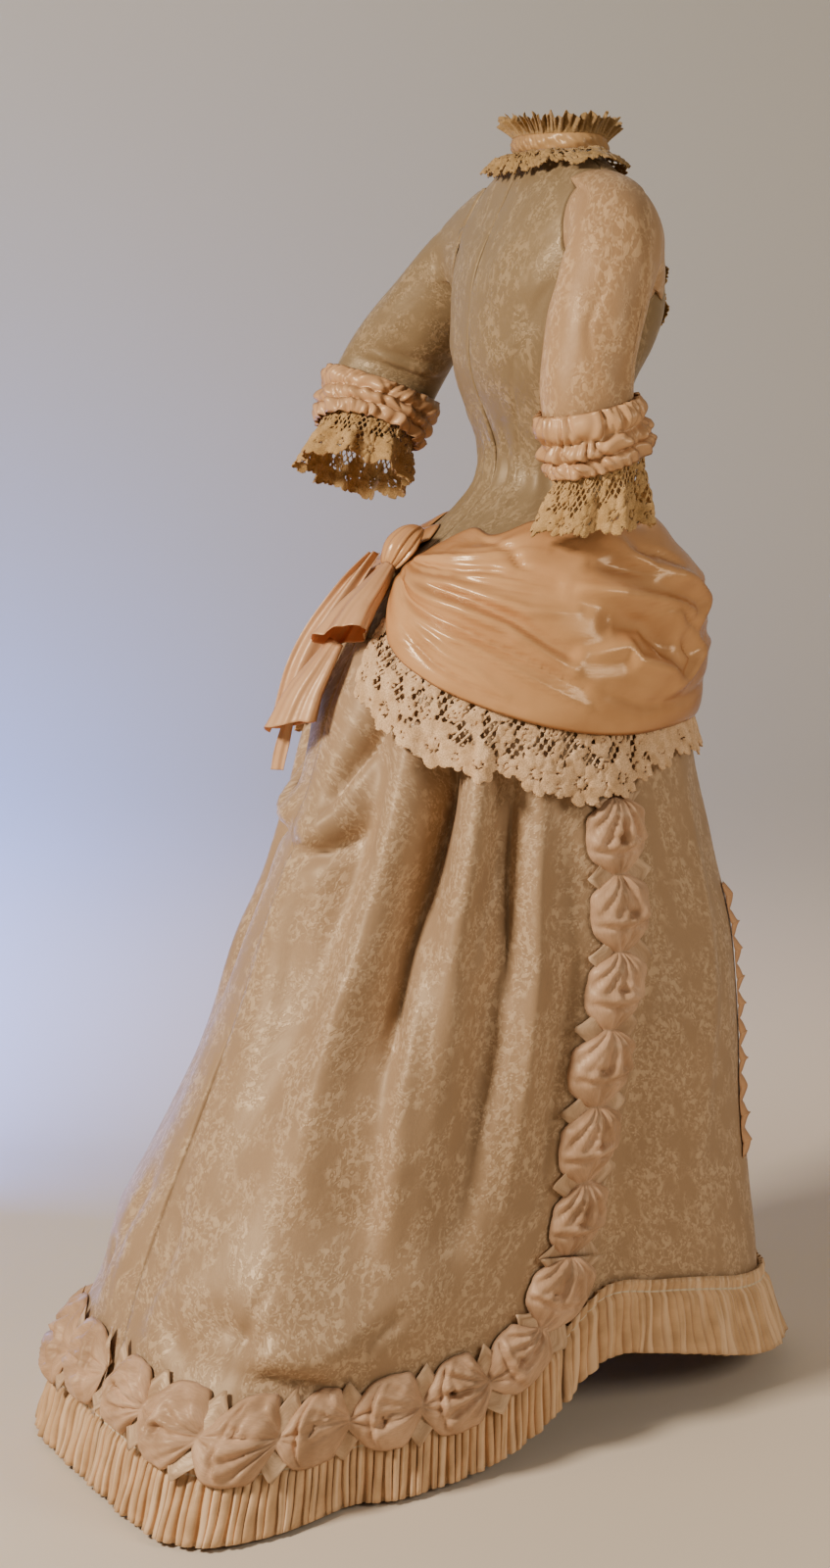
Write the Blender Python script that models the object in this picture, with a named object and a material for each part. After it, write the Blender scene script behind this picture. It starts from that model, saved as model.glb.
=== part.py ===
"""Bustle dress of about 1880: a fitted brocade bodice and a skirt with a short train.

Metres, +Z up. The dress faces -Y and its left side is at +X. It stands as if worn and is hollow,
open at the neck, cuffs and hem. The origin is at the base of the neck, where the shoulders hold it,
so every height below is measured from the floor and moved down by SHOULDER_HEIGHT at the end.
"""

import bpy
import numpy as np

SHOULDER_HEIGHT = 1.43
CLOTH = 0.0012
LACE = 0.0010
SEAM = 0.00035
SMALL = 1e-9
REST = 0.0006
RIGHT, LEFT = -1, 1


def table(names, *rows):
    """A table of sizes: each named column becomes one array."""
    return dict(zip(names.split(), np.array(rows, float).T))


BODICE_SECTIONS = table(
    "front_height side_height back_height half_width front back squareness turn",
    (0.905, 0.905, 0.905, 0.175, -0.128, 0.283, 2.0, 0),
    (0.950, 0.950, 0.950, 0.162, -0.119, 0.248, 2.0, 0),
    (0.985, 0.985, 0.985, 0.150, -0.107, 0.212, 2.0, 0),
    (1.015, 1.015, 1.015, 0.135, -0.090, 0.168, 2.0, 0),
    (1.045, 1.045, 1.045, 0.113, -0.074, 0.132, 2.0, 0),
    (1.075, 1.075, 1.075, 0.101, -0.056, 0.108, 2.0, 0),
    (1.110, 1.110, 1.110, 0.106, -0.042, 0.101, 2.0, -2),
    (1.150, 1.150, 1.150, 0.119, -0.044, 0.112, 2.0, -4),
    (1.190, 1.190, 1.190, 0.134, -0.057, 0.125, 2.1, -6),
    (1.225, 1.225, 1.225, 0.145, -0.078, 0.130, 2.1, -7),
    (1.260, 1.260, 1.260, 0.153, -0.088, 0.128, 2.2, -8),
    (1.295, 1.295, 1.295, 0.160, -0.084, 0.124, 2.3, -8),
    (1.330, 1.332, 1.330, 0.164, -0.072, 0.113, 2.4, -8),
    (1.360, 1.370, 1.362, 0.160, -0.058, 0.098, 2.4, -8),
    (1.384, 1.398, 1.390, 0.145, -0.042, 0.084, 2.4, -8),
    (1.400, 1.416, 1.412, 0.118, -0.030, 0.074, 2.3, -8),
    (1.411, 1.429, 1.430, 0.092, -0.026, 0.066, 2.2, -8),
    (1.420, 1.440, 1.441, 0.070, -0.026, 0.060, 2.1, -8),
)
SKIRT_SECTIONS = table(
    "height half_width front back front_square back_square pinch sweep",
    (0.000, 0.234, -0.246, 0.636, 2.8, 6.0, 0.15, -0.050),
    (0.050, 0.233, -0.241, 0.628, 2.8, 5.2, 0.15, -0.046),
    (0.120, 0.232, -0.234, 0.608, 2.7, 4.2, 0.12, -0.038),
    (0.245, 0.231, -0.224, 0.558, 2.5, 3.2, 0.07, -0.024),
    (0.355, 0.230, -0.217, 0.503, 2.3, 2.7, 0.03, -0.012),
    (0.490, 0.225, -0.206, 0.440, 2.2, 2.3, 0.00, -0.004),
    (0.560, 0.220, -0.196, 0.412, 2.1, 2.2, 0.00, 0.000),
    (0.645, 0.213, -0.172, 0.380, 2.0, 2.0, 0.00, 0.000),
    (0.715, 0.206, -0.152, 0.353, 2.0, 2.0, 0.00, 0.000),
    (0.780, 0.198, -0.138, 0.334, 2.0, 2.0, 0.00, 0.000),
    (0.830, 0.191, -0.133, 0.318, 2.0, 2.0, 0.00, 0.000),
    (0.902, 0.175, -0.128, 0.284, 2.0, 2.0, 0.00, 0.000),
)
PINCH_MIDDLE, PINCH_SPREAD = 0.07, 0.12
SWEEP_START, SWEEP_RUN = 0.10, 0.53

# Angles run from the centre front (0) to the centre back (180), in degrees, on either side.
HEM = table(
    "angle hem head skirt_edge flare",
    (0, 0.024, 0.120, 0.102, 0.022),
    (20, 0.028, 0.124, 0.106, 0.022),
    (31, 0.040, 0.137, 0.119, 0.022),
    (40, 0.058, 0.152, 0.134, 0.020),
    (52, 0.076, 0.164, 0.146, 0.018),
    (70, 0.082, 0.168, 0.150, 0.015),
    (76, 0.062, 0.148, 0.130, 0.013),
    (84, 0.040, 0.125, 0.107, 0.012),
    (97, 0.018, 0.100, 0.082, 0.011),
    (112, 0.006, 0.085, 0.067, 0.010),
    (125, 0.003, 0.078, 0.060, 0.010),
    (150, 0.003, 0.078, 0.060, 0.010),
    (180, 0.003, 0.080, 0.062, 0.010),
)
# Long folds that fall from the drape; a negative depth is a ridge.
FOLDS = table(
    "side top_angle foot_angle top foot depth width",
    (RIGHT, 135, 146, 0.86, 0.40, 0.046, 6.0),
    (RIGHT, 126, 131, 0.84, 0.34, -0.018, 5.5),
    (RIGHT, 117, 123, 0.84, 0.18, 0.028, 6.0),
    (RIGHT, 158, 167, 0.88, 0.24, 0.030, 6.5),
    (RIGHT, 147, 157, 0.84, 0.30, -0.016, 5.5),
    (RIGHT, 98, 100, 0.78, 0.24, 0.010, 7.0),
    (LEFT, 131, 141, 0.86, 0.38, 0.040, 6.5),
    (LEFT, 122, 127, 0.84, 0.32, -0.016, 5.5),
    (LEFT, 112, 118, 0.82, 0.20, 0.025, 6.0),
    (LEFT, 153, 163, 0.88, 0.28, 0.032, 6.5),
    (LEFT, 143, 150, 0.84, 0.34, -0.015, 5.5),
    (LEFT, 96, 99, 0.76, 0.26, 0.010, 7.0),
)
# Puffs and hollows where the train breaks on the floor.
PUFFS = table(
    "side angle height angle_spread height_spread rise",
    (RIGHT, 137, 0.19, 9, 0.035, 0.018),
    (RIGHT, 124, 0.22, 7, 0.045, 0.012),
    (RIGHT, 150, 0.23, 7, 0.050, 0.014),
    (RIGHT, 144, 0.30, 6, 0.040, -0.012),
    (RIGHT, 160, 0.17, 6, 0.040, -0.012),
    (RIGHT, 169, 0.20, 6, 0.050, 0.012),
    (RIGHT, 137, 0.02, 6, 0.080, -0.032),
    (LEFT, 134, 0.20, 9, 0.040, 0.015),
    (LEFT, 148, 0.24, 7, 0.050, 0.013),
    (LEFT, 141, 0.29, 6, 0.040, -0.010),
    (LEFT, 161, 0.18, 7, 0.040, -0.012),
    (LEFT, 171, 0.22, 6, 0.050, 0.012),
)

BODICE_COLUMNS = 32
ARMHOLE_COLUMNS = 5
ARMHOLE_LOW, ARMHOLE_HIGH = 10, 15
NECK_OPENING_FOOT = 8.4
NECK_OPENING_ANGLE = 42.0
SIDE_BACK_ANGLE = 146.0

FRONT_PANEL_ANGLE = 80.0
SKIRT_TOP = 0.905
SKIRT_ROWS = 13
FRONT_COLUMNS = 12
# Columns of the back panels stand closer where the long folds fall.
BACK_COLUMNS = table("column angle", (0, 80), (3, 104), (17, 172), (19, 180))

PLEATS_FRONT, PLEATS_TRAIN = 42, 40
PLEAT_TOP, PLEAT_FOOT = 0.0045, 0.0085
PLEAT_LEAN = 0.72
FLOUNCE_SEAM = 0.0012
FLOUNCE_GAP = 0.006

ROSETTE_PITCH = 0.087
SIDE_ROSETTES = 6
ROSETTE_HALF_WIDTH = 0.036
ROSETTE_RISE = 0.020
METRES_PER_RADIAN = 0.22
TRIM_HANG = 0.0120

BROCADE = dict(color=(0.46, 0.36, 0.25), roughness=0.55)
TAFFETA = dict(color=(0.50, 0.36, 0.24), roughness=0.50)
SATIN = dict(color=(0.72, 0.47, 0.27), roughness=0.28)
LACE_THREAD = dict(color=(0.66, 0.49, 0.30), roughness=0.80)


def curve(x, knots, values):
    """Smooth curve through the knots: cubic pieces whose slopes are those of each knot's neighbours."""
    x = np.clip(x, knots[0], knots[-1])
    slope = np.gradient(values, knots)
    i = np.clip(np.searchsorted(knots, x, side="right") - 1, 0, len(knots) - 2)
    step = knots[i + 1] - knots[i]
    t = (x - knots[i]) / step
    rise = (3 - 2 * t) * t * t
    return (
        values[i] * (1 - rise)
        + values[i + 1] * rise
        + step * (slope[i] * t * (1 - t) ** 2 - slope[i + 1] * t * t * (1 - t))
    )


def plan(angle, half_width, front, back, front_square, back_square, pinch=0.0, sweep=0.0):
    """X and Y of a level section: a rounded oval, drawn in at the sides and swept aside behind."""
    s, c = np.sin(angle), np.cos(angle)
    middle, depth = (front + back) / 2, (back - front) / 2
    power = np.where(c > 0, front_square, back_square)
    reach = (np.abs(s / half_width) ** power + np.abs(c / depth) ** power) ** (-1 / power)
    x, y = reach * s, middle - reach * c
    x = x * (1 - pinch * np.exp(-(((y - PINCH_MIDDLE) / PINCH_SPREAD) ** 2)))
    return x + sweep * np.clip((y - SWEEP_START) / SWEEP_RUN, 0, 1) ** 2, y


def turned_about_z(x, y, turn):
    """X and Y after a turn about the dress's upright axis."""
    return x * np.cos(turn) - y * np.sin(turn), x * np.sin(turn) + y * np.cos(turn)


def bodice_point(angle, level):
    """Point of the bodice at an angle (radians) and a level, counted in rows of BODICE_SECTIONS."""
    knots = np.arange(len(BODICE_SECTIONS["front"]), dtype=float)
    at = {name: curve(level, knots, values) for name, values in BODICE_SECTIONS.items()}
    x, y = plan(angle, at["half_width"], at["front"], at["back"], at["squareness"], at["squareness"])
    x, y = turned_about_z(x, y, np.radians(at["turn"]))
    end = np.where(np.cos(angle) > 0, at["front_height"], at["back_height"])
    height = at["side_height"] * np.sin(angle) ** 2 + end * np.cos(angle) ** 2
    return np.stack([x, y, height], -1)


def turned(angle):
    """Degrees from the centre front, 0 to 180, and the side, of an angle in radians."""
    degrees = (np.degrees(angle) + 180) % 360 - 180
    return np.abs(degrees), np.where(degrees < 0, RIGHT, LEFT)


def fold_depth(angle, height):
    """How far the folds and puffs push the skirt outwards."""
    degrees, side = turned(angle)
    out = np.zeros(np.broadcast(angle, height).shape)
    for fold in zip(*FOLDS.values()):
        on_side, top_angle, foot_angle, top, foot, depth, width = fold
        along = np.clip((top - height) / (top - foot), 0, 1)
        middle = top_angle + (foot_angle - top_angle) * along
        shape = np.exp(-(((degrees - middle) / width) ** 2)) * np.sin(np.pi * along**0.7)
        out -= np.where(side == on_side, depth * shape, 0)
    for on_side, middle, level, angle_spread, height_spread, rise in zip(*PUFFS.values()):
        shape = np.exp(-(((degrees - middle) / angle_spread) ** 2) - ((height - level) / height_spread) ** 2)
        out += np.where(side == on_side, rise * shape, 0)
    return out


def skirt_point(angle, height, hollows=1.0):
    """Point of the skirt at an angle (radians) and a height above the floor, folds included.

    With hollows at 0 the surface spans the inward folds, as a cloth lying over them does.
    """
    knots = SKIRT_SECTIONS["height"]
    names = ("half_width", "front", "back", "front_square", "back_square", "pinch", "sweep")
    x, y = plan(angle, *(curve(height, knots, SKIRT_SECTIONS[name]) for name in names))
    out = fold_depth(angle, height)
    out = np.maximum(out, 0) + hollows * np.minimum(out, 0)
    return np.stack([x + out * np.sin(angle), y - out * np.cos(angle), height + 0 * x], -1)


def hem_value(angle, name):
    """A height from the HEM table at an angle in radians."""
    return curve(turned(angle)[0], HEM["angle"], HEM[name])


def skirt_grid(angles):
    """Rows of skirt points from under the drape to the skirt's own edge."""
    down = np.linspace(0, 1, SKIRT_ROWS)[:, None]
    edge = hem_value(angles, "skirt_edge")[None, :]
    heights = SKIRT_TOP + (edge - SKIRT_TOP) * down
    return skirt_point(angles[None, :] + 0 * heights, heights)


def grid_normals(points, closed):
    """Unit normals of a grid of points, from the differences between neighbours."""
    if closed:
        along = np.roll(points, -1, 1) - np.roll(points, 1, 1)
    else:
        along = np.gradient(points, axis=1)
    normal = np.cross(along, np.gradient(points, axis=0))
    return normal / np.linalg.norm(normal, axis=-1, keepdims=True)


def facet_point(points, row, column):
    """Point on the flat triangles of a grid, at fractional row and column numbers."""
    rows, columns = points.shape[:2]
    i = np.clip(np.floor(row).astype(int), 0, rows - 2)
    j = np.clip(np.floor(column).astype(int), 0, columns - 2)
    v, u = (row - i)[..., None], (column - j)[..., None]
    a, b, c, d = points[i, j], points[i, j + 1], points[i + 1, j + 1], points[i + 1, j]
    return np.where(u >= v, a + (b - a) * u + (c - b) * v, a + (c - d) * u + (d - a) * v)


def material(name, color, roughness):
    """A plain cloth material."""
    made = bpy.data.materials.new(name)
    made.use_nodes = True
    shader = made.node_tree.nodes["Principled BSDF"]
    shader.inputs["Base Color"].default_value = (*color, 1)
    shader.inputs["Roughness"].default_value = roughness
    shader.inputs["Metallic"].default_value = 0.0
    return made


def cloth_wall(name, points, finish, thickness=CLOTH, keep=None, closed=False, flip=False, seam=0.0):
    """A thin closed wall over a grid of points. keep says which cells are cloth; the rest are gaps.

    points has rows and columns; with closed set, the last column joins the first. Each point gives
    an outer and an inner corner, half the thickness either way along its normal. Edges are drawn in
    by half of the seam's width.
    """
    rows, columns = points.shape[:2]
    across = columns if closed else columns - 1
    if keep is None:
        keep = np.ones((rows - 1, across), bool)
    normal = grid_normals(points, closed) * (-1 if flip else 1)
    points = points + drawn_in(points, keep, closed, seam)
    outer = (points + normal * thickness / 2).reshape(-1, 3)
    inner = (points - normal * thickness / 2).reshape(-1, 3)
    count = rows * columns
    faces = []
    for i, j in np.argwhere(keep):
        k = (j + 1) % columns
        a, b = i * columns + j, i * columns + k
        d, c = a + columns, b + columns
        faces += [(a, b, c), (a, c, d)]
        faces += [(a + count, c + count, b + count), (a + count, d + count, c + count)]
        beside = (
            (i - 1, j, b, a),
            (i + 1, j, d, c),
            (i, j - 1, a, d),
            (i, j + 1, c, b),
        )
        for row, column, first, second in beside:
            if closed:
                column %= across
            inside = 0 <= row < rows - 1 and 0 <= column < across
            if not (inside and keep[row, column]):
                faces.append((first, second, second + count, first + count))
    if flip:
        faces = [face[::-1] for face in faces]
    return mesh_object(name, np.concatenate([outer, inner]), faces, finish)


def drawn_in(points, keep, closed, seam):
    """Moves of the seam's width from the edge points into the cells that they bound."""
    rows, columns = points.shape[:2]
    pull = np.zeros_like(points)
    cells = np.zeros((rows, columns))
    i, j = np.nonzero(keep)
    for row_step in (0, 1):
        for column_step in (0, 1):
            corner = (i + row_step, (j + column_step) % columns)
            beside = (i + row_step, (j + 1 - column_step) % columns)
            below = (i + 1 - row_step, (j + column_step) % columns)
            for other in (beside, below):
                step = points[other] - points[corner]
                length = np.linalg.norm(step, axis=-1, keepdims=True)
                np.add.at(pull, corner, step / np.maximum(length, SMALL))
            np.add.at(cells, corner, 1)
    edge = (cells > 0) & (cells < 4)
    share = np.where(cells == 2, 0.5, 1.0)
    return pull * (edge * share * seam)[..., None]


def mesh_object(name, points, faces, finish):
    """An object of the given points, with the unused ones dropped, under the dress's empty."""
    used = np.unique(np.concatenate([np.ravel(face) for face in faces]))
    number = np.full(len(points), -1)
    number[used] = np.arange(len(used))
    mesh = bpy.data.meshes.new(name)
    mesh.from_pydata(points[used].tolist(), [], [tuple(int(number[v]) for v in face) for face in faces])
    mesh.materials.append(finish)
    mesh.shade_smooth()
    mesh.set_sharp_from_angle(angle=np.radians(40))
    made = bpy.data.objects.new(name, mesh)
    bpy.context.scene.collection.objects.link(made)
    made.parent = bpy.data.objects["dress"]
    return made


def side_name(name, side):
    return name + ("_right" if side == RIGHT else "_left")


def bodice_grid():
    """Grid of the bodice: columns all round from the centre front, rows up to the neck edge.

    Around each armhole the grid is pulled into an oval. In front the rows are squeezed under the
    open neckline, which runs down from the neck to NECK_OPENING_FOOT.
    """
    rows = len(BODICE_SECTIONS["front"])
    row, column = np.meshgrid(np.arange(rows), np.arange(BODICE_COLUMNS), indexing="ij")
    row_middle = (ARMHOLE_LOW + ARMHOLE_HIGH) / 2
    for side in (RIGHT, LEFT):
        middle = BODICE_COLUMNS * (0.25 if side == LEFT else 0.75)
        x = (column - middle) / (ARMHOLE_COLUMNS / 2)
        y = (row - row_middle) / ((ARMHOLE_HIGH - ARMHOLE_LOW) / 2)
        box = np.maximum(np.abs(x), np.abs(y))
        round_ = np.maximum(np.hypot(x, y), 1e-6)
        share = np.clip(2 - box, 0, 1) * (box > 0.5)
        scale = 1 + share * (box / round_ - 1)
        column = middle + (column - middle) * scale
        row = row_middle + (row - row_middle) * scale
    angle = np.radians(column * 360 / BODICE_COLUMNS)
    degrees = turned(angle)[0]
    top = rows - 1
    reach = np.clip(degrees / NECK_OPENING_ANGLE, 0, 1) ** 0.75
    limit = NECK_OPENING_FOOT + (top - NECK_OPENING_FOOT) * reach
    waist = 5.0
    squeezed = waist + (row - waist) * (limit - waist) / (top - waist)
    row = np.where(row > waist, squeezed, row)
    return bodice_point(angle, row)


def armhole_cells(side):
    """Row and column ranges of the cells that an armhole leaves out."""
    middle = BODICE_COLUMNS * (0.25 if side == LEFT else 0.75)
    first = int(round(middle - ARMHOLE_COLUMNS / 2))
    return ARMHOLE_LOW, ARMHOLE_HIGH, first, first + ARMHOLE_COLUMNS


def make_bodice(points, brocade):
    """Six panels: two fronts, two side backs that end in the armhole, and two backs."""
    rows = points.shape[0] - 1
    keep = np.ones((rows, BODICE_COLUMNS), bool)
    half, quarter = BODICE_COLUMNS // 2, BODICE_COLUMNS // 4
    for side in (RIGHT, LEFT):
        low, high, first, last = armhole_cells(side)
        keep[low:high, first:last] = False
    side_back = int(round(SIDE_BACK_ANGLE / 360 * BODICE_COLUMNS))
    side_back = min(side_back, quarter + ARMHOLE_COLUMNS // 2)
    number = np.arange(BODICE_COLUMNS)[None, :] + np.zeros((rows, 1), int)
    row = np.arange(rows)[:, None] + np.zeros((1, BODICE_COLUMNS), int)
    for side in (LEFT, RIGHT):
        step = number if side == LEFT else BODICE_COLUMNS - 1 - number
        under = (step >= quarter) & (step < side_back) & (row < ARMHOLE_LOW)
        front = (step < quarter)
        back = (step >= quarter) & (step < half) & ~under
        for part, cells in (("bodice_front", front), ("bodice_side_back", under), ("bodice_back", back)):
            cloth_wall(side_name(part, side), points, brocade, keep=keep & cells, closed=True, seam=SEAM)


def armhole_loop(points, side):
    """The armhole's edge points in order, starting at the underarm's first column."""
    low, high, first, last = armhole_cells(side)
    loop = [(low, j) for j in range(first, last)]
    loop += [(i, last) for i in range(low, high)]
    loop += [(high, j) for j in range(last, first, -1)]
    loop += [(i, first) for i in range(high, low, -1)]
    return np.array([points[i, j] for i, j in loop])


ARMS = {
    RIGHT: table(
        "x y height lean_x lean_y lean_z half_across half_down",
        (-0.150, 0.050, 1.345, -0.99, 0.14, 0.20, 0.060, 0.060),
        (-0.168, 0.058, 1.335, -0.90, 0.16, -0.25, 0.057, 0.056),
        (-0.181, 0.074, 1.306, -0.55, 0.30, -0.75, 0.053, 0.053),
        (-0.188, 0.092, 1.260, -0.12, 0.30, -0.95, 0.051, 0.051),
        (-0.190, 0.103, 1.212, -0.02, 0.10, -0.99, 0.050, 0.050),
        (-0.190, 0.106, 1.170, 0.00, -0.20, -0.97, 0.050, 0.049),
        (-0.190, 0.096, 1.127, 0.00, -0.30, -0.95, 0.050, 0.049),
        (-0.190, 0.089, 1.101, 0.00, -0.30, -0.95, 0.050, 0.049),
        (-0.194, 0.100, 1.020, 0.00, -0.05, -1.00, 0.062, 0.060),
    ),
    LEFT: table(
        "x y height lean_x lean_y lean_z half_across half_down",
        (0.153, 0.009, 1.345, 0.99, -0.14, 0.20, 0.060, 0.060),
        (0.177, 0.012, 1.334, 0.90, 0.02, -0.35, 0.058, 0.056),
        (0.206, 0.028, 1.304, 0.75, 0.30, -0.60, 0.057, 0.052),
        (0.240, 0.046, 1.265, 0.65, 0.35, -0.68, 0.058, 0.050),
        (0.269, 0.062, 1.226, 0.50, 0.30, -0.80, 0.061, 0.048),
        (0.288, 0.078, 1.186, 0.10, 0.35, -0.93, 0.064, 0.046),
        (0.281, 0.102, 1.146, -0.20, 0.48, -0.85, 0.062, 0.045),
        (0.272, 0.117, 1.121, -0.28, 0.46, -0.84, 0.058, 0.045),
        (0.258, 0.146, 1.062, -0.28, 0.40, -0.87, 0.068, 0.056),
    ),
}
ARM_ACROSS = {RIGHT: (0.0, -1.0, 0.0), LEFT: (-0.5, -0.86, 0.0)}
SLEEVE_STATIONS = table(
    "along blend",
    (0.00, 0.00),
    (0.45, 0.35),
    (0.95, 0.70),
    (1.60, 0.92),
    (2.40, 1.00),
    (3.30, 1.00),
    (4.30, 1.00),
    (5.15, 1.00),
    (5.77, 1.00),
    (6.40, 1.00),
)
CUFF_START, CUFF_END, FRILL_END = 5.15, 7.02, 7.88
CUFF_ROWS, CUFF_PUFF = 3, 0.0085
BODY_CLEARANCE = 0.0032


def arm_frame(side, along):
    """Middle, two cross directions and two half widths of an arm; along counts rows of ARMS."""
    rows = ARMS[side]
    knots = np.arange(len(rows["x"]), dtype=float)
    at = {name: curve(along, knots, values) for name, values in rows.items()}
    lean = np.stack([at["lean_x"], at["lean_y"], at["lean_z"]], -1)
    lean = lean / np.linalg.norm(lean, axis=-1, keepdims=True)
    forward = np.array(ARM_ACROSS[side])
    wide = forward - lean * (lean @ forward)[..., None]
    wide = wide / np.linalg.norm(wide, axis=-1, keepdims=True)
    middle = np.stack([at["x"], at["y"], at["height"]], -1)
    return middle, wide, np.cross(lean, wide), at["half_across"], at["half_down"]


def arm_section(side, along, turn, out=0.0):
    """Point of an arm's tube: turn is the angle round it in radians, out the distance off its wall."""
    middle, wide, deep, half_across, half_down = arm_frame(side, along)
    across = (half_across + out) * np.cos(turn)
    down = (half_down + out) * np.sin(turn)
    return middle + wide * across[..., None] + deep * down[..., None]


def kept_off_body(points, side, clearance):
    """Moves the points of a tube outwards where they would touch the bodice's side."""
    knots = np.arange(len(BODICE_SECTIONS["front"]), dtype=float)
    level = curve(points[..., 2], BODICE_SECTIONS["side_height"], knots)
    at = {name: curve(level, knots, values) for name, values in BODICE_SECTIONS.items()}
    turn = np.radians(at["turn"])
    x, y = turned_about_z(points[..., 0], points[..., 1], -turn)
    middle, depth = (at["front"] + at["back"]) / 2, (at["back"] - at["front"]) / 2
    share = np.clip(np.abs((y - middle) / (depth + clearance)), 0, 1)
    limit = (at["half_width"] + clearance) * (1 - share ** at["squareness"]) ** (1 / at["squareness"])
    x = side * np.maximum(side * x, np.where(share < 1, limit, -1))
    x, y = turned_about_z(x, y, turn)
    return np.stack([x, y, points[..., 2]], -1)


def sleeve_turns(points, side):
    """The angle round the arm of each armhole point, which every ring of the sleeve keeps."""
    loop = armhole_loop(points, side)
    middle, wide, deep = arm_frame(side, np.array(0.0))[:3]
    spread = loop - loop.mean(0)
    return np.arctan2(spread @ deep, spread @ wide)


def make_sleeve(points, side, brocade):
    """A set-in sleeve: its first ring follows the armhole, the rest are ovals along the arm."""
    loop = armhole_loop(points, side)
    turn = sleeve_turns(points, side)
    edge = loop + (loop - loop.mean(0)) * 0.01
    outward = np.array([side * 0.99, side * -0.14, 0.15])
    rings = []
    for along, share in zip(*SLEEVE_STATIONS.values()):
        head = edge + outward * (0.0024 + 0.03 * along)
        ring = head * (1 - share) + arm_section(side, np.full(len(turn), along), turn) * share
        rings.append(ring if along == 0 else kept_off_body(ring, side, BODY_CLEARANCE))
    cloth_wall(side_name("sleeve", side), np.array(rings), brocade, closed=True, flip=side == LEFT)


def make_cuff(points, side, satin):
    """A ruched satin band: three rows of puffs between four gathered lines."""
    turn = sleeve_turns(points, side)[None, :]
    rows = 2 * CUFF_ROWS + 1
    down = np.linspace(0, 1, rows)[:, None] + 0 * turn
    row = np.arange(rows)[:, None]
    column = np.arange(turn.shape[1])[None, :]
    puff = CUFF_PUFF * (0.72 + 0.28 * (-1.0) ** (column + row // 2))
    out = CLOTH + REST + 0.0004 + np.where(row % 2 == 1, puff, 0.0)
    along = CUFF_START + (CUFF_END - CUFF_START) * down
    grid = arm_section(side, along, turn + 0 * down, out)
    grid = kept_off_body(grid, side, BODY_CLEARANCE + 0.0012)
    cloth_wall(side_name("cuff", side), grid, satin, closed=True, flip=side == RIGHT)


CUFF_FRILL_COLUMNS, CUFF_FRILL_WAVES, CUFF_FRILL_WAVE = 32, 8, 0.008
CUFF_FRILL = table(
    "down wave scallop out",
    (0.00, 0.00, 0.0, -0.0018),
    (0.42, 0.00, 0.0, -0.0018),
    (0.68, 0.60, 0.0, 0.0000),
    (1.00, 1.00, 0.055, 0.0010),
)


def make_cuff_lace(side, lace):
    """A lace frill below the cuff, cut through in its middle rows; two halves, each a node."""
    columns = CUFF_FRILL_COLUMNS
    turn = np.linspace(0, 2 * np.pi, columns, endpoint=False)[None, :]
    down, wave, scallop, rise = (values[:, None] for values in CUFF_FRILL.values())
    out = rise + CUFF_FRILL_WAVE * np.sin(CUFF_FRILL_WAVES * turn + 0.4) * wave
    start = SLEEVE_STATIONS["along"][-1] + 0.02
    share = down + scallop * np.cos(2 * CUFF_FRILL_WAVES * turn + 0.8)
    grid = arm_section(side, start + (FRILL_END - start) * share, turn + 0 * down, out)
    grid = kept_off_body(grid, side, BODY_CLEARANCE + 0.002)
    keep = np.ones((len(down) - 1, columns), bool)
    keep[1, 1::3] = False
    for part, first in (("cuff_lace_front", 0), ("cuff_lace_back", columns // 2)):
        half = np.zeros_like(keep)
        half[:, first : first + columns // 2] = True
        cloth_wall(
            side_name(part, side), grid, lace, LACE, keep & half, closed=True, flip=side == RIGHT, seam=SEAM
        )


COLLAR_WAVES = 20


def make_collar(bodice, satin, lace):
    """A satin band round the neck, a crimped frill standing in it and lace falling over the shoulders."""
    top = len(BODICE_SECTIONS["front"]) - 1
    open_angle = np.radians(NECK_OPENING_ANGLE + 3)
    angle = np.linspace(open_angle, 2 * np.pi - open_angle, 25)
    neck = bodice_point(angle, np.full(angle.shape, float(top)))
    outward = np.stack([np.sin(angle), -np.cos(angle), 0 * angle], -1)
    up = np.array([0.0, 0.0, 1.0])
    foot = neck + up * (REST + 0.0002)
    band = np.array([foot, neck + up * 0.010, neck + up * 0.020 + outward * 0.003])
    cloth_wall("collar_band", band, satin, flip=True)
    fine = np.linspace(open_angle, 2 * np.pi - open_angle, 2 * COLLAR_WAVES + 1)
    base = bodice_point(fine, np.full(fine.shape, float(top)))
    outward = np.stack([np.sin(fine), -np.cos(fine), 0 * fine], -1)
    wave = ((-1.0) ** np.arange(len(fine)))[:, None]
    frill = np.array(
        [
            base + up * 0.0210 + outward * 0.0030,
            base + up * 0.033 + outward * (0.009 + 0.003 * wave),
            base + up * 0.041 + outward * (0.019 + 0.005 * wave),
        ]
    )
    cloth_wall("collar_frill", frill, lace, LACE, flip=True)
    for side in (RIGHT, LEFT):
        angle = np.linspace(np.radians(179.2), np.radians(NECK_OPENING_ANGLE + 3), 19) * side
        fall = np.array([0.0, 1.0, 2.05])[:, None]
        step = np.arange(len(angle))
        wave = np.sin(step * np.pi / 2)[None, :] * 0.003 * (fall > 0)
        level = top - 0.02 - fall * (1 + 0.08 * (-1.0) ** step)
        points = bodice_point(angle[None, :] + 0 * fall, level)
        normal = grid_normals(points, False) * side
        rise = np.array([0.0026, 0.011, 0.012])[:, None] + wave
        points = points + normal * rise[..., None]
        keep = np.ones((2, 18), bool)
        keep[0, 2:-1:3] = False
        cloth_wall(side_name("collar_lace", side), points, lace, LACE, keep, flip=side == RIGHT, seam=SEAM)


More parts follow.
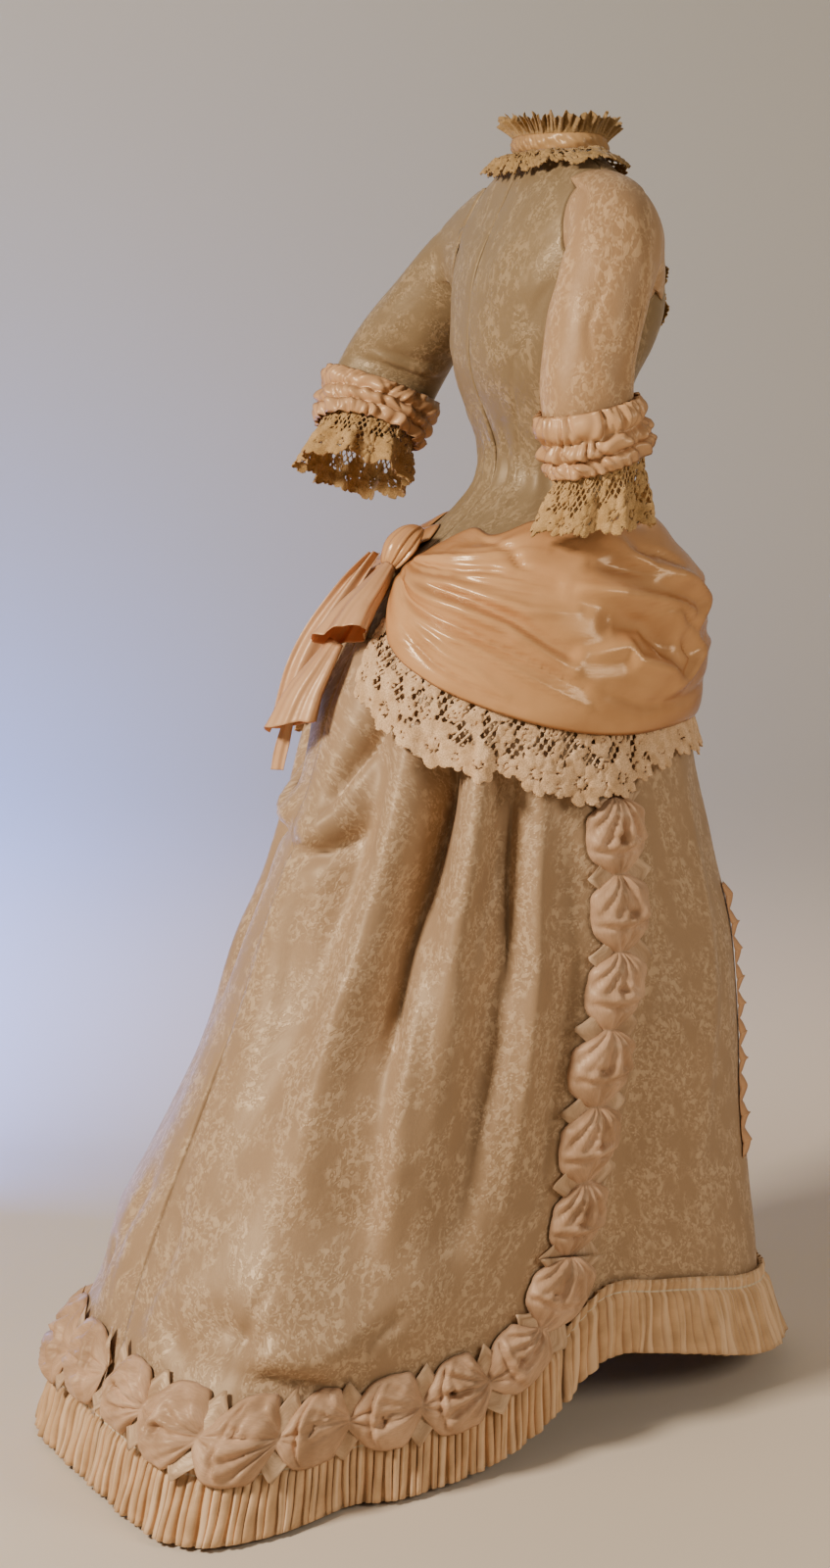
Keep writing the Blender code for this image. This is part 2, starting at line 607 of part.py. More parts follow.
def make_front_lace(bodice, side, lace):
    """Ruffled lace along the open neckline, from the neck down to where the fronts close."""
    top = len(BODICE_SECTIONS["front"]) - 1
    count = 15
    degrees = np.linspace(NECK_OPENING_ANGLE - 7, 3.0, count)
    reach = np.clip(degrees / NECK_OPENING_ANGLE, 0, 1) ** 0.75
    level = NECK_OPENING_FOOT + (top - NECK_OPENING_FOOT) * reach
    edge = bodice_point(side * np.radians(degrees), level)
    outer_degrees = degrees + 16
    outer = bodice_point(side * np.radians(outer_degrees), np.minimum(level, top - 2.2) - 0.35)
    wave = np.sin(np.arange(count) * np.pi / 2)[:, None]
    forward = np.array([0.25 * side, -1.0, 0.1])
    strip = np.array(
        [
            edge + forward * 0.0030 + np.array([0, 0, 0.001]),
            edge * 0.55 + outer * 0.45 + forward * (0.016 + 0.003 * wave),
            outer + forward * (0.015 + 0.006 * wave),
        ]
    )
    cloth_wall(side_name("front_lace", side), strip, lace, LACE, flip=side == RIGHT)


SASH = table(
    "angle top foot lift",
    (0, 1.022, 0.806, 0.014),
    (25, 1.026, 0.802, 0.020),
    (48, 1.032, 0.802, 0.028),
    (60, 1.034, 0.801, 0.028),
    (76, 1.032, 0.800, 0.024),
    (94, 1.030, 0.806, 0.022),
    (109, 1.028, 0.817, 0.020),
    (128, 1.028, 0.838, 0.019),
    (147, 1.024, 0.866, 0.015),
    (162, 1.020, 0.900, 0.011),
    (174, 1.004, 0.955, 0.008),
)
SASH_FOLDS = table(
    "share depth width",
    (0.14, 0.60, 0.07),
    (0.38, 0.90, 0.07),
    (0.62, 0.75, 0.07),
    (0.88, 0.70, 0.07),
)


# The upper edge lies on the bodice, the lower one on the lace.
SASH_END = 173.6
SASH_REST = table("share out", (0.0, 0.0085), (0.7, 0.0095), (1.0, 0.0028))


def outer_point(angle, height):
    """Point of the dress's main surface, bodice or skirt, between the knees and the waist."""
    sections = BODICE_SECTIONS["side_height"]
    level = curve(height, sections, np.arange(len(sections), dtype=float))
    upper, lower = bodice_point(angle, level), skirt_point(angle, height, hollows=0.0)
    return np.where((height > SKIRT_TOP)[..., None], upper, lower)


def sash_point(side, degrees, share):
    """Point of the satin drape: share runs from its lower edge to its upper one."""
    order = SASH["angle"]
    top, foot = curve(degrees, order, SASH["top"]), curve(degrees, order, SASH["foot"])
    lift = curve(degrees, order, SASH["lift"])
    height = foot + (top - foot) * share
    folds = sum(d * np.exp(-(((share - s) / w) ** 2)) for s, d, w in zip(*SASH_FOLDS.values()))
    belly = np.sin(np.pi * np.clip(share, 0, 1)) ** 0.6
    base = np.interp(share, SASH_REST["share"], SASH_REST["out"])
    out = base + lift * belly * (1.0 - 0.75 * folds)
    angle = np.radians(degrees) * side
    outward = np.stack([np.sin(angle), -np.cos(angle), 0.25 + 0 * angle], -1)
    return outer_point(angle, height) + out[..., None] * outward


def make_sash(side, satin):
    """One half of the satin drape, from the centre front round the hip to the knot."""
    degrees = np.linspace(0.0, SASH_END, 18)[None, :]
    share = np.array([0.0, 0.14, 0.25, 0.38, 0.50, 0.62, 0.76, 0.88, 1.0])[:, None]
    grid = sash_point(side, degrees + 0 * share, share + 0 * degrees)
    cloth_wall(side_name("sash", side), grid, satin, flip=side == RIGHT, seam=SEAM)


HIP_LACE = table(
    "angle foot",
    (0, 0.760),
    (42, 0.762),
    (55, 0.768),
    (73, 0.742),
    (88, 0.730),
    (99, 0.730),
    (108, 0.740),
    (117, 0.757),
    (130, 0.763),
    (147, 0.787),
    (163, 0.832),
    (172, 0.865),
)


HIP_SCALLOPS = 8
HIP_LACE_ROWS = table("down rise", (0.0, 0.0026), (0.34, 0.0060), (0.72, 0.0090), (1.0, 0.0110))


def make_hip_lace(side, lace):
    """A deep lace flounce that falls from under the satin drape over the skirt."""
    columns = 4 * HIP_SCALLOPS + 1
    degrees = np.linspace(0.0, 171.0, columns)[None, :]
    down, rise = (values[:, None] for values in HIP_LACE_ROWS.values())
    top = curve(degrees, SASH["angle"], SASH["foot"]) + 0.010
    foot = curve(degrees, HIP_LACE["angle"], HIP_LACE["foot"])
    dip = np.resize([0.0, 0.8, 1.0, 0.8], columns)[None, :]
    height = top + (foot - top) * down + 0.014 * (1 - dip) * (down > 0.9)
    angle = np.radians(degrees) * side + 0 * height
    wave = np.resize([0.0, 1.0, 0.0, -1.0], columns)[None, :]
    out = rise + 0.0022 * wave * down
    points = outer_point(angle, height)
    points = points + out[..., None] * np.stack([np.sin(angle), -np.cos(angle), 0 * angle], -1)
    keep = np.ones((len(down) - 1, columns - 1), bool)
    keep[1, 1::2] = False
    keep[:, -1] = True
    cloth_wall(side_name("hip_lace", side), points, lace, LACE, keep, flip=side == RIGHT, seam=SEAM)


def make_skirt(brocade):
    """The front panel and the two back panels, which meet at the centre back; returns their grids."""
    edge = np.radians(FRONT_PANEL_ANGLE)
    front_angles = np.linspace(-edge, edge, FRONT_COLUMNS + 1)
    grids = {"skirt_front": (front_angles, skirt_grid(front_angles))}
    columns = np.arange(BACK_COLUMNS["column"][-1] + 1)
    back = np.radians(np.interp(columns, BACK_COLUMNS["column"], BACK_COLUMNS["angle"]))
    grids["skirt_back_left"] = (back, skirt_grid(back))
    grids["skirt_back_right"] = (-back[::-1], skirt_grid(-back[::-1]))
    for name, (angles, points) in grids.items():
        cloth_wall(name, points, brocade, seam=SEAM, flip=True)
    return grids


def on_skirt(grids, angle, height):
    """Point on the skirt's flat triangles at an angle and a height, and the outward direction there."""
    points = np.zeros(angle.shape + (3,))
    edge = np.radians(FRONT_PANEL_ANGLE)
    share = (SKIRT_TOP - height) / (SKIRT_TOP - hem_value(angle, "skirt_edge"))
    row = share * (SKIRT_ROWS - 1)
    for name, (angles, grid) in grids.items():
        column = np.interp(angle, angles, np.arange(len(angles), dtype=float))
        if name == "skirt_front":
            inside = np.abs(angle) <= edge
        else:
            inside = (angle > edge) if name == "skirt_back_left" else (angle < -edge)
        points = np.where(inside[..., None], facet_point(grid, row, column), points)
    out = np.stack([np.sin(angle), -np.cos(angle), 0.25 + 0 * angle], -1)
    return points, out / np.linalg.norm(out, axis=-1, keepdims=True)


def even_angles(first, last, count, height):
    """Angles in radians that are evenly spaced along the skirt at a height."""
    fine = np.linspace(first, last, 400)
    points = skirt_point(fine, np.full(fine.shape, height))
    run = np.concatenate([[0], np.cumsum(np.linalg.norm(np.diff(points, axis=0), axis=1))])
    return np.interp(np.linspace(0, run[-1], count), run, fine)


def make_flounce(grids, name, first, last, pleats, taffeta):
    """A knife-pleated flounce: each pleat runs out over PLEAT_LEAN of its width and folds back."""
    ends = even_angles(first + FLOUNCE_GAP, last - FLOUNCE_GAP, pleats + 1, 0.08)
    width = np.diff(ends)
    angle = np.ravel(np.stack([ends[:-1], ends[:-1] + width * PLEAT_LEAN], -1))
    angle = np.append(angle, ends[-1])
    ridge = np.zeros(len(angle))
    ridge[1::2] = 1
    top, out = on_skirt(grids, angle, hem_value(angle, "head"))
    top = top + out * (CLOTH + 1.6 * REST + PLEAT_TOP * ridge)[:, None]
    hem = hem_value(angle, "hem")
    foot = skirt_point(angle, hem)
    foot = foot + out * (hem_value(angle, "flare") + PLEAT_FOOT * ridge)[:, None]
    foot[:, 2] = hem
    cloth_wall(name, np.array([top, foot]), taffeta, LACE, flip=True, seam=FLOUNCE_SEAM)


def trim_path(side):
    """Angles (degrees from the front) and heights of the rosette trim, with the run along it."""
    rows = table(
        "angle height",
        (82.5, 0.735),
        (81.5, 0.656),
        (81.0, 0.571),
        (83.0, 0.483),
        (83.5, 0.390),
        (82.5, 0.314),
        (82.0, 0.250),
        (88.0, 0.160),
        (100.0, 0.116),
        (114.0, 0.100),
        (128.0, 0.098),
        (140.0, 0.098),
        (152.0, 0.100),
        (164.0, 0.108),
        (179.2, 0.116),
    )
    run = np.linspace(0, 1, len(rows["angle"]))
    fine = np.linspace(0, 1, 300)
    degrees, height = curve(fine, run, rows["angle"]), curve(fine, run, rows["height"])
    points = skirt_point(side * np.radians(degrees), height)
    length = np.concatenate([[0], np.cumsum(np.linalg.norm(np.diff(points, axis=0), axis=1))])
    return degrees, height, length


ROSETTE = table(
    "along half_width rise",
    (0.00, 0.30, 0.10),
    (0.24, 1.00, 0.75),
    (0.56, 1.00, 1.00),
    (0.82, 0.78, 0.45),
)
TRIM_ACROSS = table("across puff", (-1.0, 0.0), (-0.4, 0.9), (0.4, 0.9), (1.0, 0.0))


def make_trim(grids, side, name, first, last, hang, taffeta):
    """A run of rosettes: a ribbon pinched at each end of a rosette and puffed between.

    hang lifts the lower edge clear of the pleats that it covers.
    """
    degrees, height, length = trim_path(side)
    count = int(round((last - first) / ROSETTE_PITCH))
    pitch = (last - first) / count
    run = (first + pitch * (np.arange(count)[:, None] + ROSETTE["along"][None, :])).ravel()
    run = np.append(run, last)
    half = np.append(np.tile(ROSETTE["half_width"], count), ROSETTE["half_width"][0]) * ROSETTE_HALF_WIDTH
    rise = np.append(np.tile(ROSETTE["rise"], count), ROSETTE["rise"][0]) * ROSETTE_RISE
    angle = np.interp(run, length, np.radians(degrees)) * METRES_PER_RADIAN
    level = np.interp(run, length, height)
    tangent = np.stack([np.gradient(angle, run), np.gradient(level, run)], -1)
    tangent /= np.linalg.norm(tangent, axis=-1, keepdims=True)
    across, puff = (values[:, None] for values in TRIM_ACROSS.values())
    width = across * half[None, :]
    at_angle = (angle - tangent[:, 1] * width) / METRES_PER_RADIAN
    at_height = level + tangent[:, 0] * width
    points, out = on_skirt(grids, side * at_angle, at_height)
    lift = CLOTH + 3 * REST + puff * rise[None, :] + hang * (1 - across) / 2
    points = points + out * lift[..., None]
    cloth_wall(name, points, taffeta, flip=side == LEFT, seam=FLOUNCE_SEAM)


LOOP_ANGLE, LOOP_COUNT, LOOP_TOP, LOOP_FOOT = 25.0, 10, 0.600, 0.270
LOOP_RISE = (0.0, 0.009, 0.009)


def make_front_loops(grids, side, taffeta):
    """A narrow ribbon sewn down the front in small loops."""
    count = len(LOOP_RISE) * LOOP_COUNT + 1
    height = np.linspace(LOOP_TOP, LOOP_FOOT, count)[None, :]
    across = np.array([-1.0, 1.0])[:, None]
    lift = np.append(np.tile(LOOP_RISE, LOOP_COUNT), 0.0)[None, :]
    angle = np.radians(LOOP_ANGLE) * side + across * 0.026 + 0 * height
    points, out = on_skirt(grids, angle, height + 0 * angle)
    points = points + out * (CLOTH + REST + lift + 0 * angle)[..., None]
    cloth_wall(side_name("front_loops", side), points, taffeta, flip=True)


def tube(name, middles, radii, finish, closed_ends, columns=10):
    """An oval tube through the given middles; radii gives its half width and half depth at each."""
    along = np.gradient(middles, axis=0)
    along /= np.linalg.norm(along, axis=1, keepdims=True)
    reference = np.array([1.0, 0.0, 0.0])
    wide = reference - along * (along @ reference)[:, None]
    wide /= np.linalg.norm(wide, axis=1, keepdims=True)
    deep = np.cross(along, wide)
    turn = np.linspace(0, 2 * np.pi, columns, endpoint=False)
    ring = np.cos(turn)[None, :, None] * wide[:, None] * radii[:, 0][:, None, None]
    ring = ring + np.sin(turn)[None, :, None] * deep[:, None] * radii[:, 1][:, None, None]
    points = middles[:, None] + ring
    if not closed_ends:
        return cloth_wall(name, points, finish, closed=True, flip=True)
    rows = len(middles)
    flat = points.reshape(-1, 3)
    faces = []
    for i in range(rows - 1):
        for j in range(columns):
            a, b = i * columns + j, i * columns + (j + 1) % columns
            faces.append((a, b, b + columns, a + columns))
    faces.append(tuple(range(columns))[::-1])
    faces.append(tuple(range((rows - 1) * columns, rows * columns)))
    return mesh_object(name, flat, faces, finish)


def strip(name, middles, half, finish, dip=0.0, columns=5):
    """A flat tail through the given middles, with a shallow fold down its length."""
    side_way = np.array(TAIL_SIDEWAYS)
    across = np.linspace(-1, 1, columns)[None, :]
    along = np.gradient(middles, axis=0)
    face = np.cross(side_way, along)
    face /= np.linalg.norm(face, axis=1, keepdims=True)
    points = middles[:, None] + side_way * (across * half[:, None])[..., None]
    points = points + face[:, None] * (dip * np.cos(across * np.pi * 1.5))[..., None]
    return cloth_wall(name, points, finish)


KNOT = (0.004, 0.2085, 1.000)


BOW_LOOP = table(
    "x y down half_width half_depth",
    (-0.0034, 0.0352, 0.0188, 0.010, 0.008),
    (-0.015, 0.063, 0.043, 0.018, 0.013),
    (-0.018, 0.086, 0.066, 0.026, 0.018),
    (-0.020, 0.106, 0.090, 0.033, 0.021),
)
WIDE_TAIL = table(
    "x y down half_width half_depth",
    (-0.0005, 0.1002, 0.0993, 0.012, 0.008),
    (0.004, 0.119, 0.128, 0.020, 0.013),
    (0.012, 0.137, 0.160, 0.027, 0.018),
    (0.018, 0.150, 0.192, 0.031, 0.021),
)
BOW_KNOT = table(
    "x y down half_width half_depth",
    (0.000, -0.0072, -0.022, 0.010, 0.006),
    (0.000, 0.0064, -0.014, 0.022, 0.012),
    (0.000, 0.0195, 0.000, 0.025, 0.014),
    (0.000, 0.031, 0.018, 0.014, 0.008),
)
OUTER_TAIL = table(
    "x y down half_width",
    (0.029, 0.034, 0.004, 0.006),
    (0.038, 0.062, 0.040, 0.014),
    (0.044, 0.094, 0.085, 0.019),
    (0.0456, 0.1182, 0.130, 0.020),
    (0.0476, 0.1362, 0.180, 0.018),
)
NARROW_TAIL = table(
    "x y down half_width",
    (0.030, 0.128, 0.152, 0.005),
    (0.034, 0.140, 0.180, 0.006),
    (0.037, 0.149, 0.215, 0.008),
    (0.038, 0.156, 0.245, 0.008),
)
TAIL_SIDEWAYS = (0.75, 0.66, 0.0)


def from_knot(path):
    """The places of a path whose x, y and down are measured from the knot."""
    x, y, height = KNOT
    return np.stack([x + path["x"], y + path["y"], height - path["down"]], -1)


def make_bow(satin):
    """The knot at the centre back with its loop and tails, hanging over the bustle."""
    tubes = (("bow_knot", BOW_KNOT, True), ("bow_loop", BOW_LOOP, False), ("bow_tail_wide", WIDE_TAIL, False))
    for name, path, solid in tubes:
        radii = np.stack([path["half_width"], path["half_depth"]], -1)
        tube(name, from_knot(path), radii, satin, closed_ends=solid)
    strip("bow_tail_outer", from_knot(OUTER_TAIL), OUTER_TAIL["half_width"], satin, dip=0.004)
    strip("bow_tail_narrow", from_knot(NARROW_TAIL), NARROW_TAIL["half_width"], satin, columns=3)


def main():
    for old in list(bpy.data.objects):
        bpy.data.objects.remove(old)
    dress = bpy.data.objects.new("dress", None)
    bpy.context.scene.collection.objects.link(dress)
    dress.location = (0.0, 0.0, -SHOULDER_HEIGHT)
    brocade = material("brocade", **BROCADE)
    taffeta = material("taffeta", **TAFFETA)
    satin = material("satin", **SATIN)
    lace = material("lace", **LACE_THREAD)
    bodice = bodice_grid()
    make_bodice(bodice, brocade)
    make_collar(bodice, satin, lace)
    grids = make_skirt(brocade)
    edge = np.radians(FRONT_PANEL_ANGLE)
    make_flounce(grids, "flounce_front", -edge, edge, PLEATS_FRONT, taffeta)
    make_flounce(grids, "flounce_train_left", edge, np.pi, PLEATS_TRAIN, taffeta)
    make_flounce(grids, "flounce_train_right", -np.pi, -edge, PLEATS_TRAIN, taffeta)
    for side in (RIGHT, LEFT):
        make_sleeve(bodice, side, brocade)
        make_cuff(bodice, side, satin)
        make_cuff_lace(side, lace)
        make_front_lace(bodice, side, lace)
        make_sash(side, satin)
        make_hip_lace(side, lace)
        length = trim_path(side)[2][-1]
        turn = SIDE_ROSETTES * ROSETTE_PITCH
        make_trim(grids, side, side_name("trim_side", side), 0.0, turn, 0.0, taffeta)
        make_trim(grids, side, side_name("trim_hem", side), turn + SEAM, length, TRIM_HANG, taffeta)
        make_front_loops(grids, side, taffeta)
    make_bow(satin)


main()
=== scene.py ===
# %% [markdown]
# # A bustle dress of about 1880, dressed cell by cell
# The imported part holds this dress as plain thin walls: they give its size and what it bumps into.
# Here each wall is replaced by finer cloth that follows the same named sizes, and every piece gets
# a finish of its own: figured brocade, glossy satin, ribbed taffeta and cotton lace.
# Every piece is a surface worked out from two numbers, one across the cloth and one down it.

import bpy
import numpy as np
from mathutils import Matrix, Vector


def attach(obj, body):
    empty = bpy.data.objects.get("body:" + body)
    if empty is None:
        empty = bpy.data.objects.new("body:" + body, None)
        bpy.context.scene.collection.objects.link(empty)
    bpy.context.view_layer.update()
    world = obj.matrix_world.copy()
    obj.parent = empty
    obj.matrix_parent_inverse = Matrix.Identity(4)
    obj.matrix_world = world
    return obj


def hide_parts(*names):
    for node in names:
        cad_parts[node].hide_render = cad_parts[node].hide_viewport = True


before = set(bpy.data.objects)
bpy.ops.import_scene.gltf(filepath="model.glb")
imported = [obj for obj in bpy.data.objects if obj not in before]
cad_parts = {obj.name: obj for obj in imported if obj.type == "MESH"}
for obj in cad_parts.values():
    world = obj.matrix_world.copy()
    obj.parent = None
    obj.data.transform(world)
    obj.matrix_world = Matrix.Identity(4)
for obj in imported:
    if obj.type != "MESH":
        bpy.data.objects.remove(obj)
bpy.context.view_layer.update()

# %% [markdown]
# ## The body under the cloth
# A dress is cut to a body, so the shapes start as a stack of level ovals: bodice and skirt are each
# a short table of heights and half widths, and a smooth curve fills in between the rows.
# Heights are measured from the floor, and the origin is at the shoulders, 1.43 m up.

# %% Names, tables and smooth curves
SHOULDER_HEIGHT = 1.43
RIGHT, LEFT = -1, 1


def table(names, *rows):
    """Named columns of numbers, each as one array."""
    return dict(zip(names.split(), np.array(rows, float).T))


def curve(x, knots, values):
    """Cubic pieces through the knots, each knot's slope taken from its neighbours."""
    x = np.clip(x, knots[0], knots[-1])
    slope = np.gradient(values, knots)
    i = np.clip(np.searchsorted(knots, x, side="right") - 1, 0, len(knots) - 2)
    step = knots[i + 1] - knots[i]
    t = (x - knots[i]) / step
    rise = (3 - 2 * t) * t * t
    bend = step * (slope[i] * t * (1 - t) ** 2 - slope[i + 1] * t * t * (1 - t))
    return values[i] * (1 - rise) + values[i + 1] * rise + bend


def smooth_step(x):
    """0 below 0, 1 above 1, and an S-shaped rise between."""
    x = np.clip(x, 0, 1)
    return x * x * (3 - 2 * x)


def unit(v):
    """Vectors of length 1, over the last axis."""
    return v / np.maximum(np.linalg.norm(v, axis=-1, keepdims=True), 1e-12)


def scatter(count, seed):
    """Even but irregular numbers from 0 to 1: multiples of the golden ratio, wrapped round."""
    return ((np.arange(count) + 1) * 0.6180339887 + seed * 0.3819) % 1.0


# %% The bodice as a stack of ovals
BODICE_SECTIONS = table(
    "front_height side_height back_height half_width front back squareness turn",
    (0.905, 0.905, 0.905, 0.175, -0.128, 0.283, 2.0, 0),
    (0.950, 0.950, 0.950, 0.162, -0.119, 0.248, 2.0, 0),
    (0.985, 0.985, 0.985, 0.150, -0.107, 0.212, 2.0, 0),
    (1.015, 1.015, 1.015, 0.135, -0.090, 0.168, 2.0, 0),
    (1.045, 1.045, 1.045, 0.113, -0.074, 0.132, 2.0, 0),
    (1.075, 1.075, 1.075, 0.101, -0.056, 0.108, 2.0, 0),
    (1.110, 1.110, 1.110, 0.106, -0.042, 0.101, 2.0, -2),
    (1.150, 1.150, 1.150, 0.119, -0.044, 0.112, 2.0, -4),
    (1.190, 1.190, 1.190, 0.134, -0.057, 0.125, 2.1, -6),
    (1.225, 1.225, 1.225, 0.145, -0.078, 0.130, 2.1, -7),
    (1.260, 1.260, 1.260, 0.153, -0.088, 0.128, 2.2, -8),
    (1.295, 1.295, 1.295, 0.160, -0.084, 0.124, 2.3, -8),
    (1.330, 1.332, 1.330, 0.164, -0.072, 0.113, 2.4, -8),
    (1.360, 1.370, 1.362, 0.160, -0.058, 0.098, 2.4, -8),
    (1.384, 1.398, 1.390, 0.145, -0.042, 0.084, 2.4, -8),
    (1.400, 1.416, 1.412, 0.118, -0.030, 0.074, 2.3, -8),
    (1.411, 1.429, 1.430, 0.092, -0.026, 0.066, 2.2, -8),
    (1.420, 1.440, 1.441, 0.070, -0.026, 0.060, 2.1, -8),
)
PINCH_MIDDLE, PINCH_SPREAD = 0.07, 0.12
SWEEP_START, SWEEP_RUN = 0.10, 0.53


def plan(angle, half_width, front, back, front_square, back_square, pinch=0.0, sweep=0.0):
    """X and Y of a level section: a rounded oval, drawn in at the sides and swept aside behind."""
    s, c = np.sin(angle), np.cos(angle)
    middle, depth = (front + back) / 2, (back - front) / 2
    power = np.where(c > 0, front_square, back_square)
    reach = (np.abs(s / half_width) ** power + np.abs(c / depth) ** power) ** (-1 / power)
    x, y = reach * s, middle - reach * c
    x = x * (1 - pinch * np.exp(-(((y - PINCH_MIDDLE) / PINCH_SPREAD) ** 2)))
    return x + sweep * np.clip((y - SWEEP_START) / SWEEP_RUN, 0, 1) ** 2, y


def turned_about_z(x, y, turn):
    """X and Y after a turn about the upright axis."""
    return x * np.cos(turn) - y * np.sin(turn), x * np.sin(turn) + y * np.cos(turn)


def bodice_point(angle, level):
    """Point of the bodice at an angle in radians and a level counted in rows of the table."""
    knots = np.arange(len(BODICE_SECTIONS["front"]), dtype=float)
    at = {name: curve(level, knots, values) for name, values in BODICE_SECTIONS.items()}
    x, y = plan(angle, at["half_width"], at["front"], at["back"], at["squareness"], at["squareness"])
    x, y = turned_about_z(x, y, np.radians(at["turn"]))
    end = np.where(np.cos(angle) > 0, at["front_height"], at["back_height"])
    height = at["side_height"] * np.sin(angle) ** 2 + end * np.cos(angle) ** 2
    return np.stack([x, y, height], -1)


# %% [markdown]
# The skirt spreads over a bustle and runs out into a short train. Long folds fall from the drape,
# and the train breaks into puffs where it meets the floor. Angles run from the centre front (0) to
# the centre back (180), in degrees on either side, so that left and right can differ.

# %% The skirt as a stack of ovals with folds
SKIRT_SECTIONS = table(
    "height half_width front back front_square back_square pinch sweep",
    (0.000, 0.234, -0.246, 0.636, 2.8, 6.0, 0.15, -0.050),
    (0.050, 0.233, -0.241, 0.628, 2.8, 5.2, 0.15, -0.046),
    (0.120, 0.232, -0.234, 0.608, 2.7, 4.2, 0.12, -0.038),
    (0.245, 0.231, -0.224, 0.558, 2.5, 3.2, 0.07, -0.024),
    (0.355, 0.230, -0.217, 0.503, 2.3, 2.7, 0.03, -0.012),
    (0.490, 0.225, -0.206, 0.440, 2.2, 2.3, 0.00, -0.004),
    (0.560, 0.220, -0.196, 0.412, 2.1, 2.2, 0.00, 0.000),
    (0.645, 0.213, -0.172, 0.380, 2.0, 2.0, 0.00, 0.000),
    (0.715, 0.206, -0.152, 0.353, 2.0, 2.0, 0.00, 0.000),
    (0.780, 0.198, -0.138, 0.334, 2.0, 2.0, 0.00, 0.000),
    (0.830, 0.191, -0.133, 0.318, 2.0, 2.0, 0.00, 0.000),
    (0.902, 0.175, -0.128, 0.284, 2.0, 2.0, 0.00, 0.000),
)
HEM = table(
    "angle hem head skirt_edge flare",
    (0, 0.024, 0.120, 0.102, 0.022),
    (20, 0.028, 0.124, 0.106, 0.022),
    (31, 0.040, 0.137, 0.119, 0.022),
    (40, 0.058, 0.152, 0.134, 0.020),
    (52, 0.076, 0.164, 0.146, 0.018),
    (70, 0.082, 0.168, 0.150, 0.015),
    (76, 0.062, 0.148, 0.130, 0.013),
    (84, 0.040, 0.125, 0.107, 0.012),
    (97, 0.018, 0.100, 0.082, 0.011),
    (112, 0.006, 0.085, 0.067, 0.010),
    (125, 0.003, 0.078, 0.060, 0.010),
    (150, 0.003, 0.078, 0.060, 0.010),
    (180, 0.003, 0.080, 0.062, 0.010),
)
FOLDS = table(
    "side top_angle foot_angle top foot depth width",
    (RIGHT, 135, 146, 0.86, 0.40, 0.046, 6.0),
    (RIGHT, 126, 131, 0.84, 0.34, -0.018, 5.5),
    (RIGHT, 117, 123, 0.84, 0.18, 0.028, 6.0),
    (RIGHT, 158, 167, 0.88, 0.24, 0.030, 6.5),
    (RIGHT, 147, 157, 0.84, 0.30, -0.016, 5.5),
    (RIGHT, 98, 100, 0.78, 0.24, 0.010, 7.0),
    (LEFT, 131, 141, 0.86, 0.38, 0.040, 6.5),
    (LEFT, 122, 127, 0.84, 0.32, -0.016, 5.5),
    (LEFT, 112, 118, 0.82, 0.20, 0.025, 6.0),
    (LEFT, 153, 163, 0.88, 0.28, 0.032, 6.5),
    (LEFT, 143, 150, 0.84, 0.34, -0.015, 5.5),
    (LEFT, 96, 99, 0.76, 0.26, 0.010, 7.0),
)
PUFFS = table(
    "side angle height angle_spread height_spread rise",
    (RIGHT, 137, 0.19, 9, 0.035, 0.018),
    (RIGHT, 124, 0.22, 7, 0.045, 0.012),
    (RIGHT, 150, 0.23, 7, 0.050, 0.014),
    (RIGHT, 144, 0.30, 6, 0.040, -0.012),
    (RIGHT, 160, 0.17, 6, 0.040, -0.012),
    (RIGHT, 169, 0.20, 6, 0.050, 0.012),
    (RIGHT, 137, 0.02, 6, 0.080, -0.032),
    (LEFT, 134, 0.20, 9, 0.040, 0.015),
    (LEFT, 148, 0.24, 7, 0.050, 0.013),
    (LEFT, 141, 0.29, 6, 0.040, -0.010),
    (LEFT, 161, 0.18, 7, 0.040, -0.012),
    (LEFT, 171, 0.22, 6, 0.050, 0.012),
)


def turned(angle):
    """Degrees from the centre front, 0 to 180, and the side, of an angle in radians."""
    degrees = (np.degrees(angle) + 180) % 360 - 180
    return np.abs(degrees), np.where(degrees < 0, RIGHT, LEFT)


def fold_depth(angle, height):
    """How far the large folds and puffs push the skirt out: bell curves across and along each."""
    degrees, side = turned(angle)
    out = np.zeros(np.broadcast(angle, height).shape)
    for on_side, top_angle, foot_angle, top, foot, depth, width in zip(*FOLDS.values()):
        along = np.clip((top - height) / (top - foot), 0, 1)
        middle = top_angle + (foot_angle - top_angle) * along
        shape = np.exp(-(((degrees - middle) / width) ** 2)) * np.sin(np.pi * along**0.7)
        out -= np.where(side == on_side, depth * shape, 0)
    for on_side, middle, level, angle_spread, height_spread, rise in zip(*PUFFS.values()):
        shape = np.exp(-(((degrees - middle) / angle_spread) ** 2) - ((height - level) / height_spread) ** 2)
        out += np.where(side == on_side, rise * shape, 0)
    return out


def outward(angle, lean=0.0):
    """Direction away from the body at an angle, leaning up by lean."""
    return np.stack([np.sin(angle), -np.cos(angle), lean + 0 * angle], -1)


def skirt_point(angle, height, hollows=1.0):
    """Point of the skirt with its large folds; with hollows at 0 it spans the inward ones."""
    knots = SKIRT_SECTIONS["height"]
    names = ("half_width", "front", "back", "front_square", "back_square", "pinch", "sweep")
    x, y = plan(angle, *(curve(height, knots, SKIRT_SECTIONS[name]) for name in names))
    out = fold_depth(angle, height)
    out = np.maximum(out, 0) + hollows * np.minimum(out, 0)
    return np.stack([x, y, height + 0 * x], -1) + out[..., None] * outward(angle + 0 * x)


def hem_value(angle, name):
    """A height from the hem table at an angle in radians."""
    return curve(turned(angle)[0], HEM["angle"], HEM[name])


# %% [markdown]
# ## Creases
# The large folds alone look like a plastic bell. Cloth also shows narrow creases that start and end
# somewhere. Each is a short path drawn on the cloth, and the cloth is pushed in or out near it, by a
# bell curve of the distance to the path. `power` 1 gives a sharp crease and 2 a soft trough.

